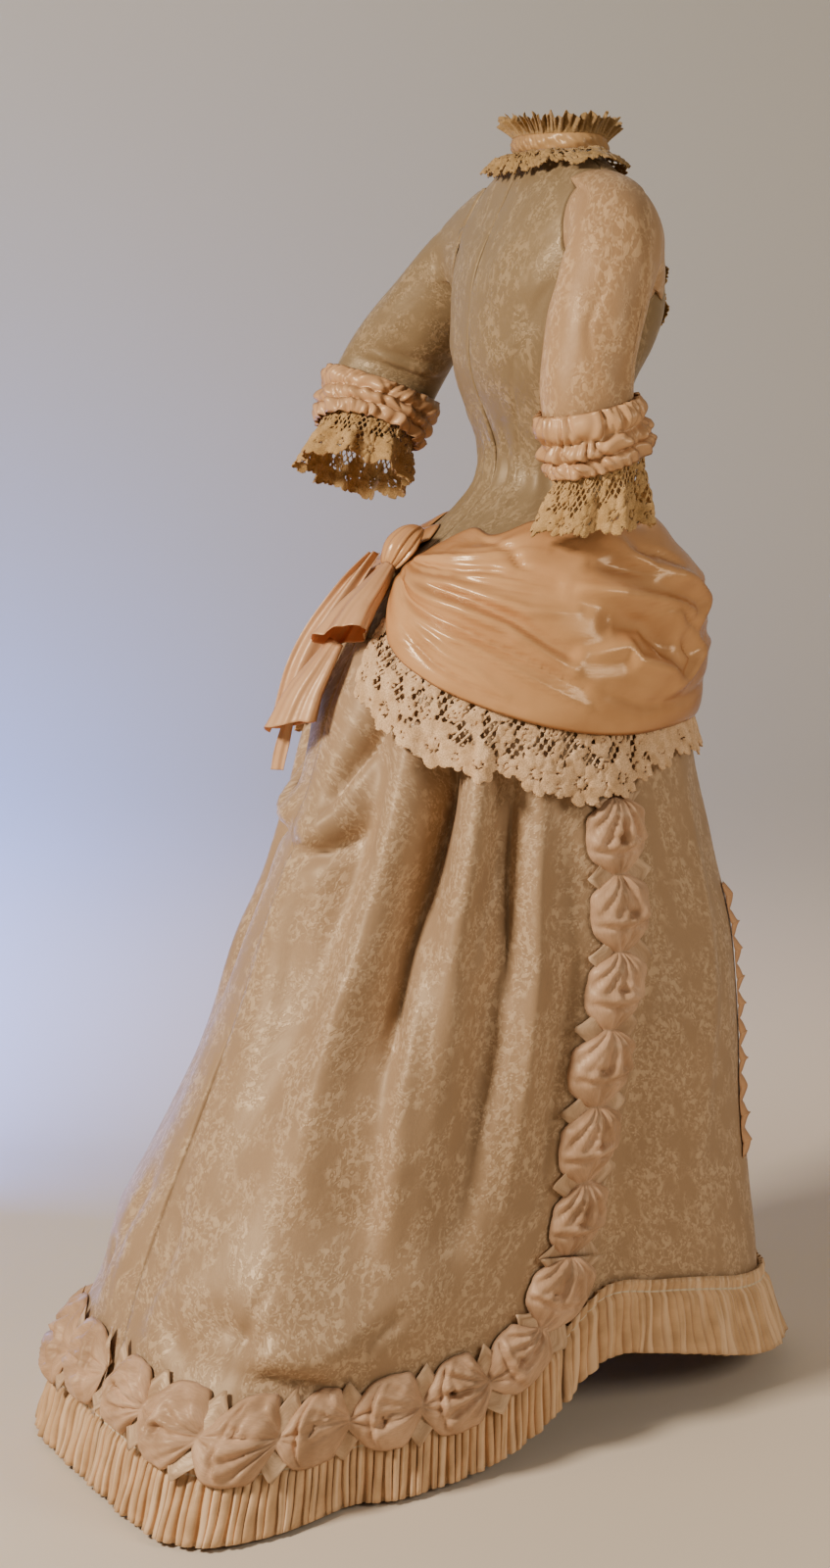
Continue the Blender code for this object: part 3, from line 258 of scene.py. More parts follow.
# %% Distance to a path drawn on the cloth
def crease_push(across, down, side, creases):
    """Sum of all creases: depth times exp(-(distance / width) ** power), fading at both ends.

    across and down are metres on the cloth; a crease is its side, depth, width, power and path.
    """
    push = np.zeros(np.broadcast(across, down).shape)
    for on_side, depth, width, power, path in creases:
        path = np.array(path, float)
        here = np.full(push.shape, 1e9)
        share = np.zeros(push.shape)
        for k, (start, end) in enumerate(zip(path[:-1], path[1:])):
            step = end - start
            t = np.clip(((across - start[0]) * step[0] + (down - start[1]) * step[1]) / (step @ step), 0, 1)
            away = np.hypot(across - start[0] - t * step[0], down - start[1] - t * step[1])
            share = np.where(away < here, (k + t) / (len(path) - 1), share)
            here = np.minimum(away, here)
        fade = np.sin(np.pi * np.clip(share, 0.04, 0.96)) ** 0.5
        push += np.where(side == on_side, depth * fade * np.exp(-((here / width) ** power)), 0)
    return push
# %% [markdown]
# ## From a grid of points to a piece of cloth
# All cloth here is a grid: rows down, columns across. The helper below turns whole arrays into one
# mesh, lays a map on it in real metres, so that a weave has the same scale everywhere, and gives it a
# thickness.

# %% Grids, faces and the map in metres
def grid_faces(rows, columns, closed=False):
    """Four-cornered faces of a grid, and the same faces numbered on its map.

    The map has one more column than a closed grid, so that it isn't torn where the ends meet.
    """
    across = columns if closed else columns - 1
    i, j = np.meshgrid(np.arange(rows - 1), np.arange(across), indexing="ij")
    k = (j + 1) % columns
    mapped = across + 1
    faces = np.stack([i * columns + j, i * columns + k, (i + 1) * columns + k, (i + 1) * columns + j], -1)
    first = i * mapped + j
    on_map = np.stack([first, first + 1, first + mapped + 1, first + mapped], -1)
    return faces, on_map


def cloth_map(points, closed=False):
    """Metres across each row and, on average, down the columns, measured along the cloth."""
    if closed:
        points = np.concatenate([points, points[:, :1]], 1)
    across = np.linalg.norm(np.diff(points, axis=1), axis=-1)
    down = np.linalg.norm(np.diff(points, axis=0), axis=-1).mean(1)
    u = np.concatenate([np.zeros((len(points), 1)), np.cumsum(across, 1)], 1)
    u = u - u[:, u.shape[1] // 2][:, None]
    v = -np.concatenate([[0], np.cumsum(down)])[:, None]
    return np.stack([u, v + 0 * u], -1)


def body_axis(points):
    """The dress's upright middle line beside each point."""
    return points * [0, 0, 1] + [0, 0.06, 0]


# %% Meshes out of arrays
def make_mesh(name, points, faces, place, finish):
    """A mesh from points, faces with equal numbers of corners, and the map's place of each corner."""
    mesh = bpy.data.meshes.new(name)
    mesh.vertices.add(len(points))
    mesh.vertices.foreach_set("co", (points - [0, 0, SHOULDER_HEIGHT]).astype(np.float32).ravel())
    mesh.loops.add(faces.size)
    mesh.loops.foreach_set("vertex_index", faces.astype(np.int32).ravel())
    mesh.polygons.add(len(faces))
    mesh.polygons.foreach_set("loop_start", np.arange(0, faces.size, faces.shape[1], dtype=np.int32))
    mesh.update(calc_edges=True)
    mesh.validate()
    mesh.uv_layers.new(name="cloth")
    mesh.uv_layers["cloth"].data.foreach_set("uv", place.astype(np.float32).ravel())
    mesh.shade_smooth()
    mesh.materials.append(finish)
    made = bpy.data.objects.new(name, mesh)
    bpy.context.scene.collection.objects.link(made)
    return made


def thickened(piece, thickness):
    """Gives a sheet its thickness, half to either side."""
    wall = piece.modifiers.new("thickness", "SOLIDIFY")
    wall.thickness = thickness
    wall.offset = 0.0
    return piece


def facing_out(points, faces, inside):
    """True where the faces' normals point away from the inside points, on the whole."""
    a, b, c = (points[faces[:, k]] for k in range(3))
    return np.sum(np.cross(b - a, c - a) * ((a + b + c) / 3 - inside(a))) > 0


declared = []


def dress_with(piece, nodes, cut, area):
    """Rides on the dress, stands for its solids and states the sheet that was cut for it."""
    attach(piece, "root")
    if nodes:
        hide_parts(*nodes)
    width, length = cut
    declared.append((piece.name, round(width, 3), round(length, 3), round(area, 4)))
    return piece


def side_name(name, side):
    return name + ("_right" if side == RIGHT else "_left")


def cut_of(points, keep, closed=False):
    """Width and length of the smallest rectangle that the sheet is cut from, and its own area.

    The width is the longest row of kept cells and the length the longest column, laid flat.
    """
    ring = np.concatenate([points, points[:, :1]], 1) if closed else points
    widths = np.linalg.norm(np.diff(ring, axis=1), axis=-1)
    lengths = np.linalg.norm(np.diff(ring, axis=0), axis=-1)
    widths, lengths = (widths[1:] + widths[:-1]) / 2 * keep, (lengths[:, 1:] + lengths[:, :-1]) / 2 * keep
    a, b, c, d = ring[:-1, :-1], ring[:-1, 1:], ring[1:, 1:], ring[1:, :-1]
    area = (np.linalg.norm(np.cross(c - a, d - b), axis=-1) * keep).sum() / 2
    return float(widths.sum(1).max()), float(lengths.sum(0).max()), float(area)


def cloth(name, points, finish, nodes=(), thickness=0.0008, closed=False,
          keep=None, inside=body_axis, cut=None, place=None):
    """One piece of cloth over a grid of points; keep says which cells are cloth."""
    rows, columns = points.shape[:2]
    faces, on_map = grid_faces(rows, columns, closed)
    chosen = np.ones(faces.shape[:2], bool) if keep is None else keep
    faces, on_map = faces[chosen], on_map[chosen]
    place = cloth_map(points, closed) if place is None else place
    flat = points.reshape(-1, 3)
    if not facing_out(flat, faces, inside):
        faces, on_map = faces[:, ::-1], on_map[:, ::-1]
    used, faces_used = np.unique(faces, return_inverse=True)
    corners = place.reshape(-1, 2)[on_map.ravel()]
    piece = make_mesh(name, flat[used], faces_used.reshape(faces.shape), corners, finish)
    width, length, area = cut_of(points, chosen, closed)
    thickened(piece, thickness)
    return dress_with(piece, nodes, cut or (width, length), area)


# %% [markdown]
# ## Finishes
# Four cloths make the dress. Each is built from nodes on the cloth's own map: the brocade's small
# sprigs stand a little proud of the ground and catch the light, the satin is smooth with a soft sheen and a
# painted shade where it turns from the camera, the taffeta has a fine rib, and the lace thread is matt and
# slightly uneven, with painted shade in its hollows.

# %% Small helpers for node trees
def add(tree, kind, inputs=None, **settings):
    """Adds a shader node; an input is either a number, a colour or the socket that feeds it."""
    made = tree.nodes.new("ShaderNode" + kind)
    for name, value in settings.items():
        setattr(made, name, value)
    for socket, value in (inputs or {}).items():
        if isinstance(value, bpy.types.NodeSocket):
            tree.links.new(value, made.inputs[socket])
        else:
            made.inputs[socket].default_value = value
    return made


def start_finish(name, roughness, specular=0.35, sheen=0.0, tint=(1.0, 1.0, 1.0, 1.0)):
    """A cloth material with its constant values set on the shader's own sockets."""
    made = bpy.data.materials.new(name)
    made.use_nodes = True
    shader = made.node_tree.nodes["Principled BSDF"]
    shader.inputs["Roughness"].default_value = roughness
    shader.inputs["Specular IOR Level"].default_value = specular
    shader.inputs["Sheen Weight"].default_value = sheen
    shader.inputs["Specular Tint"].default_value = tint
    shader.inputs["Sheen Roughness"].default_value = 0.4
    return made, made.node_tree, shader


def noise(tree, at, scale, detail=2.0, stretch=(1, 1, 1)):
    """Soft noise on the map, stretched in one direction if wanted."""
    turned_map = add(tree, "Mapping", {"Vector": at, "Scale": stretch})
    return add(tree, "TexNoise", {"Vector": turned_map.outputs[0], "Scale": scale, "Detail": detail})


def band(tree, value, low, high, out_low=0.0, out_high=1.0):
    """A smooth ramp of a value between low and high."""
    ramp = add(tree, "MapRange", interpolation_type="SMOOTHSTEP")
    tree.links.new(value, ramp.inputs["Value"])
    for socket, number in zip(("From Min", "From Max", "To Min", "To Max"), (low, high, out_low, out_high)):
        ramp.inputs[socket].default_value = number
    return ramp.outputs[0]


def maths(tree, operation, a, b):
    """One sum of two values."""
    return add(tree, "Math", {0: a, 1: b}, operation=operation).outputs[0]


def blend(tree, factor, a, b, how="MIX"):
    """A mix of two colours."""
    made = add(tree, "Mix", {0: factor, 6: a, 7: b}, data_type="RGBA", blend_type=how)
    return made.outputs[2]


def bumped(tree, shader, height, distance, strength=1.0):
    """Feeds a height in metres into the shader's normal."""
    bump = add(tree, "Bump", {"Height": height, "Distance": distance, "Strength": strength})
    tree.links.new(bump.outputs[0], shader.inputs["Normal"])


WARM_SHINE = (1.0, 0.80, 0.56, 1.0)


def deeper(colour, share):
    """The same colour with less light in it."""
    return [c * share for c in colour[:3]] + [1]


# %% Brocade: light sprigs on a darker ground
def brocade_finish(name, ground, figure, streak=1.0):
    """Sprigs are thin outlines of warped cells, thickest in upright bands 6 to 7 cm apart."""
    made, tree, shader = start_finish(name, 0.46, 0.44, 0.05, WARM_SHINE)
    at = add(tree, "TexCoord").outputs["UV"]
    wander = noise(tree, at, 55.0, 2.0)
    push = add(tree, "VectorMath", {0: wander.outputs["Color"], 1: (0.5, 0.5, 0.5)}, operation="SUBTRACT")
    scaled = add(tree, "VectorMath", {0: push.outputs[0], "Scale": 0.010}, operation="SCALE")
    warped = add(tree, "VectorMath", {0: at, 1: scaled.outputs[0]}, operation="ADD").outputs[0]
    stems = add(tree, "TexVoronoi", {"Vector": warped, "Scale": 100.0}, feature="DISTANCE_TO_EDGE")
    buds = add(tree, "TexVoronoi", {"Vector": warped, "Scale": 190.0})
    stem = band(tree, stems.outputs["Distance"], 0.11, 0.03)
    broken = noise(tree, at, 150.0, 1.0)
    stem = maths(tree, "MULTIPLY", stem, band(tree, broken.outputs[0], 0.34, 0.50, 0.0, 0.55))
    leaves = noise(tree, warped, 135.0, 2.0, (1.0, 0.7, 1.0))
    leaf_shape = band(tree, leaves.outputs[0], 0.53, 0.60)
    stem = maths(tree, "MAXIMUM", stem, leaf_shape)
    bud = band(tree, buds.outputs["Distance"], 0.34, 0.22)
    bands = noise(tree, at, 26.0, 1.0, (1.0, 0.12, 1.0))
    clumps = noise(tree, at, 34.0, 2.0, (1.0, 0.7, 1.0))
    where = maths(tree, "ADD", maths(tree, "MULTIPLY", bands.outputs[0], 0.55 * streak),
                  maths(tree, "MULTIPLY", clumps.outputs[0], 0.75))
    mask = band(tree, where, 0.53, 0.70)
    sprig = maths(tree, "MAXIMUM", maths(tree, "MULTIPLY", stem, mask), maths(tree, "MULTIPLY", bud, mask))
    thread = noise(tree, at, 900.0, 1.0, (1.0, 0.25, 1.0))
    mottle = noise(tree, at, 7.0, 3.0)
    base = blend(tree, band(tree, mottle.outputs[0], 0.3, 0.7), ground, deeper(ground, 0.90))
    base = blend(tree, maths(tree, "MULTIPLY", sprig, 0.66), base, figure)
    base = blend(tree, band(tree, thread.outputs[0], 0.35, 0.65, 0.0, 0.14), base, deeper(ground, 0.6))
    tree.links.new(base, shader.inputs["Base Color"])
    tree.links.new(band(tree, sprig, 0.0, 1.0, 0.45, 0.36), shader.inputs["Roughness"])
    relief = maths(tree, "ADD", sprig, maths(tree, "MULTIPLY", thread.outputs[0], 0.5))
    crumple = noise(tree, at, 30.0, 3.0, (1.0, 0.5, 1.0))
    relief = maths(tree, "ADD", relief, maths(tree, "MULTIPLY", crumple.outputs[0], 7.0))
    bumped(tree, shader, relief, 0.0005, 0.45)
    return made


# %% Satin, taffeta and lace thread
def satin_finish(name, face, shade, roughness=0.30):
    """Smooth and glossy; where it turns away from the camera its colour is mixed toward the darker shade
    colour, a painted shade.
    """
    made, tree, shader = start_finish(name, roughness, 0.60, 0.04, WARM_SHINE)
    at = add(tree, "TexCoord").outputs["UV"]
    edge = add(tree, "LayerWeight", {"Blend": 0.45}).outputs["Facing"]
    cloud = noise(tree, at, 14.0, 3.0)
    # Painted shade: the colour darkens toward shade where the cloth turns away from the camera.
    tone = blend(tree, band(tree, edge, 0.15, 0.95), face, shade)
    tone = blend(tree, band(tree, cloud.outputs[0], 0.35, 0.75, 0.0, 0.35), tone, shade)
    tree.links.new(tone, shader.inputs["Base Color"])
    ripple = noise(tree, at, 45.0, 3.0, (0.35, 1.0, 1.0))
    weave = noise(tree, at, 1100.0, 0.0, (1.0, 0.2, 1.0))
    height = maths(tree, "ADD", ripple.outputs[0], maths(tree, "MULTIPLY", weave.outputs[0], 0.05))
    bumped(tree, shader, height, 0.0022, 0.55)
    return made


def taffeta_finish(name, face, shade, roughness=0.48, pleats=False):
    """A plain silk with a fine cross rib and a slightly uneven dye.

    On the pleated strip the folds fade unevenly and a cream stitched line runs below the header.
    """
    made, tree, shader = start_finish(name, roughness, 0.35, 0.05, WARM_SHINE)
    at = add(tree, "TexCoord").outputs["UV"]
    cloud = noise(tree, at, 22.0, 3.0)
    rib = noise(tree, at, 800.0, 1.0, (0.15, 1.0, 1.0))
    tone = blend(tree, band(tree, cloud.outputs[0], 0.3, 0.7), face, shade)
    rib_share, rib_height = (0.08, 0.05) if pleats else (0.22, 0.25)
    tone = blend(tree, band(tree, rib.outputs[0], 0.3, 0.7, 0.0, rib_share), tone, deeper(shade, 0.6))
    if pleats:
        faded = noise(tree, at, 90.0, 1.0, (1.0, 0.03, 1.0))
        tone = blend(tree, band(tree, faded.outputs[0], 0.52, 0.60, 0.0, 0.7), tone, (0.82, 0.58, 0.36, 1))
        down = add(tree, "SeparateXYZ", {0: at}).outputs["Y"]
        line = maths(tree, "ABSOLUTE", maths(tree, "ADD", down, 0.0165), 0.0)
        tone = blend(tree, band(tree, line, 0.0016, 0.0009), tone, (0.66, 0.54, 0.38, 1))
    tree.links.new(tone, shader.inputs["Base Color"])
    soft = noise(tree, at, 70.0, 3.0)
    height = maths(tree, "ADD", maths(tree, "MULTIPLY", rib.outputs[0], rib_height), soft.outputs[0])
    bumped(tree, shader, height, 0.0012, 0.7)
    return made


def lace_finish(name, light, dark):
    """Matt cotton thread: fine twist bump, and painted shade that deepens the colour in the bump's hollows.
    """
    made, tree, shader = start_finish(name, 0.82, 0.2, 0.15)
    at = add(tree, "TexCoord").outputs["UV"]
    cloud = noise(tree, at, 60.0, 3.0)
    twist = noise(tree, at, 650.0, 2.0)
    tone = blend(tree, band(tree, cloud.outputs[0], 0.3, 0.7), light, dark)
    # Painted shade: the colour darkens where the twist bump is low.
    tone = blend(tree, band(tree, twist.outputs[0], 0.62, 0.40, 0.0, 0.45), tone, deeper(dark, 0.5))
    tree.links.new(tone, shader.inputs["Base Color"])
    bumped(tree, shader, twist.outputs[0], 0.0009, 0.9)
    return made


BROCADE = brocade_finish("brocade_cloth", (0.385, 0.247, 0.138, 1), (0.64, 0.455, 0.28, 1))
BODICE_BROCADE = brocade_finish("bodice_brocade_cloth", (0.235, 0.158, 0.080, 1), (0.40, 0.28, 0.155, 1), 0.9)
# Painted light: a lighter, pinker copy of the brocade for the right sleeve only; the left sleeve wears the
# bodice's darker brocade.
LIT_SLEEVE_BROCADE = brocade_finish("sleeve_brocade_cloth", (0.42, 0.245, 0.12, 1), (0.66, 0.43, 0.23, 1), 0.9)
SATIN = satin_finish("gold_satin", (0.66, 0.35, 0.15, 1), (0.36, 0.145, 0.045, 1), 0.25)
CUFF_SATIN = satin_finish("cuff_satin", (0.62, 0.355, 0.175, 1), (0.30, 0.145, 0.060, 1), 0.34)
COLLAR_SATIN = satin_finish("collar_satin", (0.48, 0.28, 0.12, 1), (0.25, 0.125, 0.045, 1), 0.34)
COPPER_SATIN = satin_finish("copper_satin", (0.72, 0.29, 0.13, 1), (0.44, 0.15, 0.06, 1), 0.32)
PALE_SATIN = satin_finish("pale_satin", (0.64, 0.36, 0.185, 1), (0.40, 0.19, 0.085, 1), 0.36)
TAFFETA = taffeta_finish("tan_taffeta", (0.66, 0.42, 0.26, 1), (0.42, 0.25, 0.14, 1), 0.40)
FLAP_TAFFETA = taffeta_finish("flap_taffeta", (0.70, 0.49, 0.31, 1), (0.40, 0.25, 0.14, 1), 0.36)
PLEAT_TAFFETA = taffeta_finish(
    "pleat_taffeta", (0.72, 0.46, 0.25, 1), (0.52, 0.32, 0.165, 1), 0.34, pleats=True)
LACE = lace_finish("cream_lace_thread", (0.92, 0.62, 0.36, 1), (0.66, 0.41, 0.21, 1))
COLLAR_LACE = lace_finish("collar_lace_thread", (0.50, 0.31, 0.125, 1), (0.32, 0.19, 0.07, 1))
GOLD_LACE = lace_finish("golden_lace_thread", (0.64, 0.40, 0.17, 1), (0.46, 0.27, 0.10, 1))
print("finishes:", [m.name for m in bpy.data.materials])
# %% [markdown]
# ## The bodice
# A tailor cuts the bodice from shaped panels: two fronts, two side backs under the arms and two
# backs. The grid runs round the body from the centre front; round each armhole it is pulled into an
# oval, and in front the rows are squeezed under the open neckline. Seams are narrow grooves.

# %% The bodice's grid
FINE = 6
BODICE_COLUMNS, ARMHOLE_COLUMNS = 32, 5
ARMHOLE_LOW, ARMHOLE_HIGH = 10, 15
NECK_OPENING_FOOT, NECK_OPENING_ANGLE = 8.4, 42.0
WAIST_LEVEL = 5.0
BODICE_SEAMS = (
    (1.2, ((129, 1.335), (130, 1.290), (131, 1.250), (137, 1.180), (146, 1.110), (150, 1.070), (150, 0.985))),
    (1.0, ((179.9, 1.430), (179.9, 1.190), (179.9, 1.075), (179.9, 0.960))),
    (0.8, ((160, 1.120), (162, 1.075), (161, 0.970))),
    (0.9, ((96, 1.300), (96, 1.180), (97, 1.075), (98, 0.960))),
    (0.8, ((34, 1.215), (30, 1.120), (27, 1.060), (27, 0.960))),
)
SEAM_DEPTH, SEAM_WIDTH = 0.0019, 0.0021
BODICE_RADIUS = 0.125


def bodice_grid(fine):
    """Fine grid of the bodice: columns all round from the centre front, rows up to the neck."""
    rows = (len(BODICE_SECTIONS["front"]) - 1) * fine + 1
    steps = np.meshgrid(np.arange(rows) / fine, np.arange(BODICE_COLUMNS * fine) / fine, indexing="ij")
    row, column = steps
    row_middle = (ARMHOLE_LOW + ARMHOLE_HIGH) / 2
    for side in (RIGHT, LEFT):
        middle = BODICE_COLUMNS * (0.25 if side == LEFT else 0.75)
        x = (column - middle) / (ARMHOLE_COLUMNS / 2)
        y = (row - row_middle) / ((ARMHOLE_HIGH - ARMHOLE_LOW) / 2)
        box, round_ = np.maximum(np.abs(x), np.abs(y)), np.maximum(np.hypot(x, y), 1e-6)
        scale = 1 + np.clip(2 - box, 0, 1) * (box > 0.5) * (box / round_ - 1)
        column, row = middle + (column - middle) * scale, row_middle + (row - row_middle) * scale
    angle = np.radians(column * 360 / BODICE_COLUMNS)
    top = len(BODICE_SECTIONS["front"]) - 1
    reach = np.clip(turned(angle)[0] / NECK_OPENING_ANGLE, 0, 1) ** 0.75
    limit = NECK_OPENING_FOOT + (top - NECK_OPENING_FOOT) * reach
    squeezed = WAIST_LEVEL + (row - WAIST_LEVEL) * (limit - WAIST_LEVEL) / (top - WAIST_LEVEL)
    return angle, bodice_point(angle, np.where(row > WAIST_LEVEL, squeezed, row))


BODICE_CREASES = (
    (-0.0030, 0.005, 1.6, ((118, 1.345), (127, 1.330), (140, 1.312), (150, 1.300))),
    (0.0024, 0.007, 2.0, ((116, 1.365), (128, 1.352), (146, 1.332), (160, 1.322))),
    (-0.0024, 0.004, 1.6, ((116, 1.300), (124, 1.270), (128, 1.235))),
    (0.0020, 0.006, 2.0, ((130, 1.240), (142, 1.215), (158, 1.205))),
    (-0.0018, 0.004, 1.6, ((134, 1.160), (148, 1.140), (166, 1.132))),
    (-0.0020, 0.004, 1.6, ((104, 1.140), (116, 1.120), (130, 1.112))),
    (0.0022, 0.007, 2.0, ((100, 1.165), (114, 1.146), (132, 1.136))),
    (-0.0018, 0.004, 1.6, ((100, 1.098), (116, 1.088), (134, 1.086))),
)


def bodice_relief(angle, height):
    """Seam grooves, and the small drag lines that radiate from the waist and the underarm."""
    degrees, side = turned(angle)
    across = np.radians(degrees) * BODICE_RADIUS
    seams = []
    for depth, path in BODICE_SEAMS:
        line = [(np.radians(a) * BODICE_RADIUS, h) for a, h in path]
        seams += [(s, -SEAM_DEPTH * depth, SEAM_WIDTH, 2, line) for s in (RIGHT, LEFT)]
    for depth, width, power, path in BODICE_CREASES:
        line = [(np.radians(a) * BODICE_RADIUS, h) for a, h in path]
        moved = np.array(line) + [-0.004, 0.007]
        seams += [(RIGHT, depth, width, power, line), (LEFT, 0.7 * depth, width, power, moved)]
    drag = 0.0019 * np.sin(150 * across + 26 * height + side) * np.exp(-(((height - 1.085) / 0.05) ** 2))
    soft = 0.0009 * np.sin(34 * across + 19 * height + 2 * side) * np.sin(47 * height - 11 * across)
    return crease_push(across, height, side, seams) + drag + soft


bodice_angle, bodice = bodice_grid(FINE)
bodice_smooth = bodice.copy()
bodice = bodice + bodice_relief(bodice_angle, bodice[..., 2])[..., None] * outward(bodice_angle)
print("bodice grid:", bodice.shape[:2])


# %% Six panels
def armhole_cells(side):
    """First and last row and column of the cells that an armhole leaves out."""
    middle = BODICE_COLUMNS * (0.25 if side == LEFT else 0.75)
    first = int(round(middle - ARMHOLE_COLUMNS / 2))
    return [FINE * k for k in (ARMHOLE_LOW, ARMHOLE_HIGH, first, first + ARMHOLE_COLUMNS)]


def bodice_panels():
    """Which cells belong to each panel, by its solid's name."""
    rows, columns = bodice.shape[0] - 1, bodice.shape[1]
    row, column = np.meshgrid(np.arange(rows), np.arange(columns), indexing="ij")
    open_ = np.zeros((rows, columns), bool)
    for side in (RIGHT, LEFT):
        low, high, first, last = armhole_cells(side)
        open_[low:high, first:last] = True
    panels = {}
    for side in (LEFT, RIGHT):
        step = column if side == LEFT else columns - 1 - column
        quarter, half = columns // 4, columns // 2
        under = (step >= quarter) & (step < quarter + 2 * FINE) & (row < ARMHOLE_LOW * FINE)
        panels[side_name("bodice_front", side)] = (step < quarter) & ~open_
        panels[side_name("bodice_side_back", side)] = under
        panels[side_name("bodice_back", side)] = (step >= quarter) & (step < half) & ~under & ~open_
    return panels


bodice_place = cloth_map(bodice_smooth, closed=True)
for node, cells in bodice_panels().items():
    cloth(node + "_cloth", bodice, BODICE_BROCADE, [node], closed=True,
          keep=cells, place=bodice_place)
print("bodice panels:", [row for row in declared if row[0].startswith("bodice")])

# %% [markdown]
# ## The sleeves
# A set-in sleeve starts as the armhole's own ring and turns into ovals round the arm. The right arm
# hangs and the left one is bent, so the left sleeve has pulled creases inside the elbow. All its
# rings keep the armhole's own angles, so the surface never twists.

# %% Arms
ARMS = {
    RIGHT: table(
        "x y height lean_x lean_y lean_z half_across half_down",
        (-0.150, 0.050, 1.345, -0.99, 0.14, 0.20, 0.060, 0.060),
        (-0.168, 0.058, 1.335, -0.90, 0.16, -0.25, 0.057, 0.056),
        (-0.181, 0.074, 1.306, -0.55, 0.30, -0.75, 0.053, 0.053),
        (-0.188, 0.092, 1.260, -0.12, 0.30, -0.95, 0.051, 0.051),
        (-0.190, 0.103, 1.212, -0.02, 0.10, -0.99, 0.050, 0.050),
        (-0.190, 0.106, 1.170, 0.00, -0.20, -0.97, 0.050, 0.049),
        (-0.190, 0.096, 1.127, 0.00, -0.30, -0.95, 0.050, 0.049),
        (-0.190, 0.089, 1.101, 0.00, -0.30, -0.95, 0.050, 0.049),
        (-0.194, 0.100, 1.020, 0.00, -0.05, -1.00, 0.062, 0.060),
    ),
    LEFT: table(
        "x y height lean_x lean_y lean_z half_across half_down",
        (0.153, 0.009, 1.345, 0.99, -0.14, 0.20, 0.060, 0.060),
        (0.177, 0.012, 1.334, 0.90, 0.02, -0.35, 0.058, 0.056),
        (0.206, 0.028, 1.304, 0.75, 0.30, -0.60, 0.057, 0.052),
        (0.240, 0.046, 1.265, 0.65, 0.35, -0.68, 0.058, 0.050),
        (0.269, 0.062, 1.226, 0.50, 0.30, -0.80, 0.061, 0.048),
        (0.288, 0.078, 1.186, 0.10, 0.35, -0.93, 0.064, 0.046),
        (0.281, 0.102, 1.146, -0.20, 0.48, -0.85, 0.062, 0.045),
        (0.272, 0.117, 1.121, -0.28, 0.46, -0.84, 0.058, 0.045),
        (0.258, 0.146, 1.062, -0.28, 0.40, -0.87, 0.068, 0.056),
    ),
}
ARM_ACROSS = {RIGHT: (0.0, -1.0, 0.0), LEFT: (-0.5, -0.86, 0.0)}
SLEEVE_STATIONS = table(
    "along blend", (0.0, 0.0), (0.45, 0.35), (0.95, 0.70), (1.6, 0.92), (2.4, 1.0), (5.15, 1.0), (6.4, 1.0)
)
CUFF_START, CUFF_END, FRILL_END = 5.15, 7.02, 7.88
BODY_CLEARANCE = 0.0032
ARM_ROUND = 0.052


def arm_frame(side, along):
    """Middle, two cross directions and two half widths of an arm; along counts rows of its table."""
    rows = ARMS[side]
    knots = np.arange(len(rows["x"]), dtype=float)
    at = {name: curve(along, knots, values) for name, values in rows.items()}
    lean = unit(np.stack([at["lean_x"], at["lean_y"], at["lean_z"]], -1))
    forward = np.array(ARM_ACROSS[side])
    wide = unit(forward - lean * (lean @ forward)[..., None])
    middle = np.stack([at["x"], at["y"], at["height"]], -1)
    return middle, wide, np.cross(lean, wide), at["half_across"], at["half_down"]


def arm_section(side, along, turn, out=0.0):
    """Point of an arm's tube: turn is the angle round it, out the distance off its wall."""
    middle, wide, deep, half_across, half_down = arm_frame(side, along)
    across, down = (half_across + out) * np.cos(turn), (half_down + out) * np.sin(turn)
    return middle + wide * across[..., None] + deep * down[..., None]


def arm_axis(side):
    """The middle of the arm nearest to each point."""
    middles = arm_frame(side, np.linspace(0, 8, 60))[0]
    return lambda points: middles[np.linalg.norm(points[..., None, :] - middles, axis=-1).argmin(-1)]


def kept_off_body(points, side, clearance):
    """Moves points outwards where they would touch the bodice's side."""
    knots = np.arange(len(BODICE_SECTIONS["front"]), dtype=float)
    level = curve(points[..., 2], BODICE_SECTIONS["side_height"], knots)
    at = {name: curve(level, knots, values) for name, values in BODICE_SECTIONS.items()}
    turn = np.radians(at["turn"])
    x, y = turned_about_z(points[..., 0], points[..., 1], -turn)
    middle, depth = (at["front"] + at["back"]) / 2, (at["back"] - at["front"]) / 2
    share = np.clip(np.abs((y - middle) / (depth + clearance)), 0, 1)
    limit = (at["half_width"] + clearance) * (1 - share ** at["squareness"]) ** (1 / at["squareness"])
    x = side * np.maximum(side * x, np.where(share < 1, limit, -1))
    x, y = turned_about_z(x, y, turn)
    return np.stack([x, y, points[..., 2]], -1)


# %% Sleeves from the armhole down
SLEEVE_ROWS = 52
SLEEVE_CREASES = {
    RIGHT: (
        (RIGHT, -0.0030, 0.006, 2, ((-0.10, 0.6), (-0.07, 1.6), (-0.05, 2.7))),
        (RIGHT, 0.0026, 0.008, 2, ((-0.13, 0.7), (-0.10, 1.9), (-0.09, 3.0))),
        (RIGHT, -0.0022, 0.005, 2, ((0.03, 3.0), (0.05, 3.9), (0.04, 4.9))),
        (RIGHT, 0.0022, 0.007, 2, ((-0.06, 3.3), (-0.03, 4.2), (-0.04, 5.1))),
        (RIGHT, -0.0018, 0.004, 1.6, ((0.10, 2.2), (0.12, 3.4), (0.10, 4.6))),
    ),
    LEFT: (
        (LEFT, -0.0040, 0.005, 1.8, ((0.04, 3.4), (0.08, 3.9), (0.12, 4.3))),
        (LEFT, -0.0036, 0.005, 1.8, ((0.03, 4.1), (0.08, 4.5), (0.13, 4.7))),
        (LEFT, 0.0030, 0.007, 2, ((0.03, 3.8), (0.08, 4.2), (0.12, 4.5))),
        (LEFT, 0.0026, 0.008, 2, ((-0.12, 0.8), (-0.08, 2.0), (-0.05, 3.4))),
        (LEFT, -0.0024, 0.006, 2, ((-0.14, 1.2), (-0.11, 2.4), (-0.09, 3.9))),
    ),
}
CREASE_ROW_LENGTH = 0.040


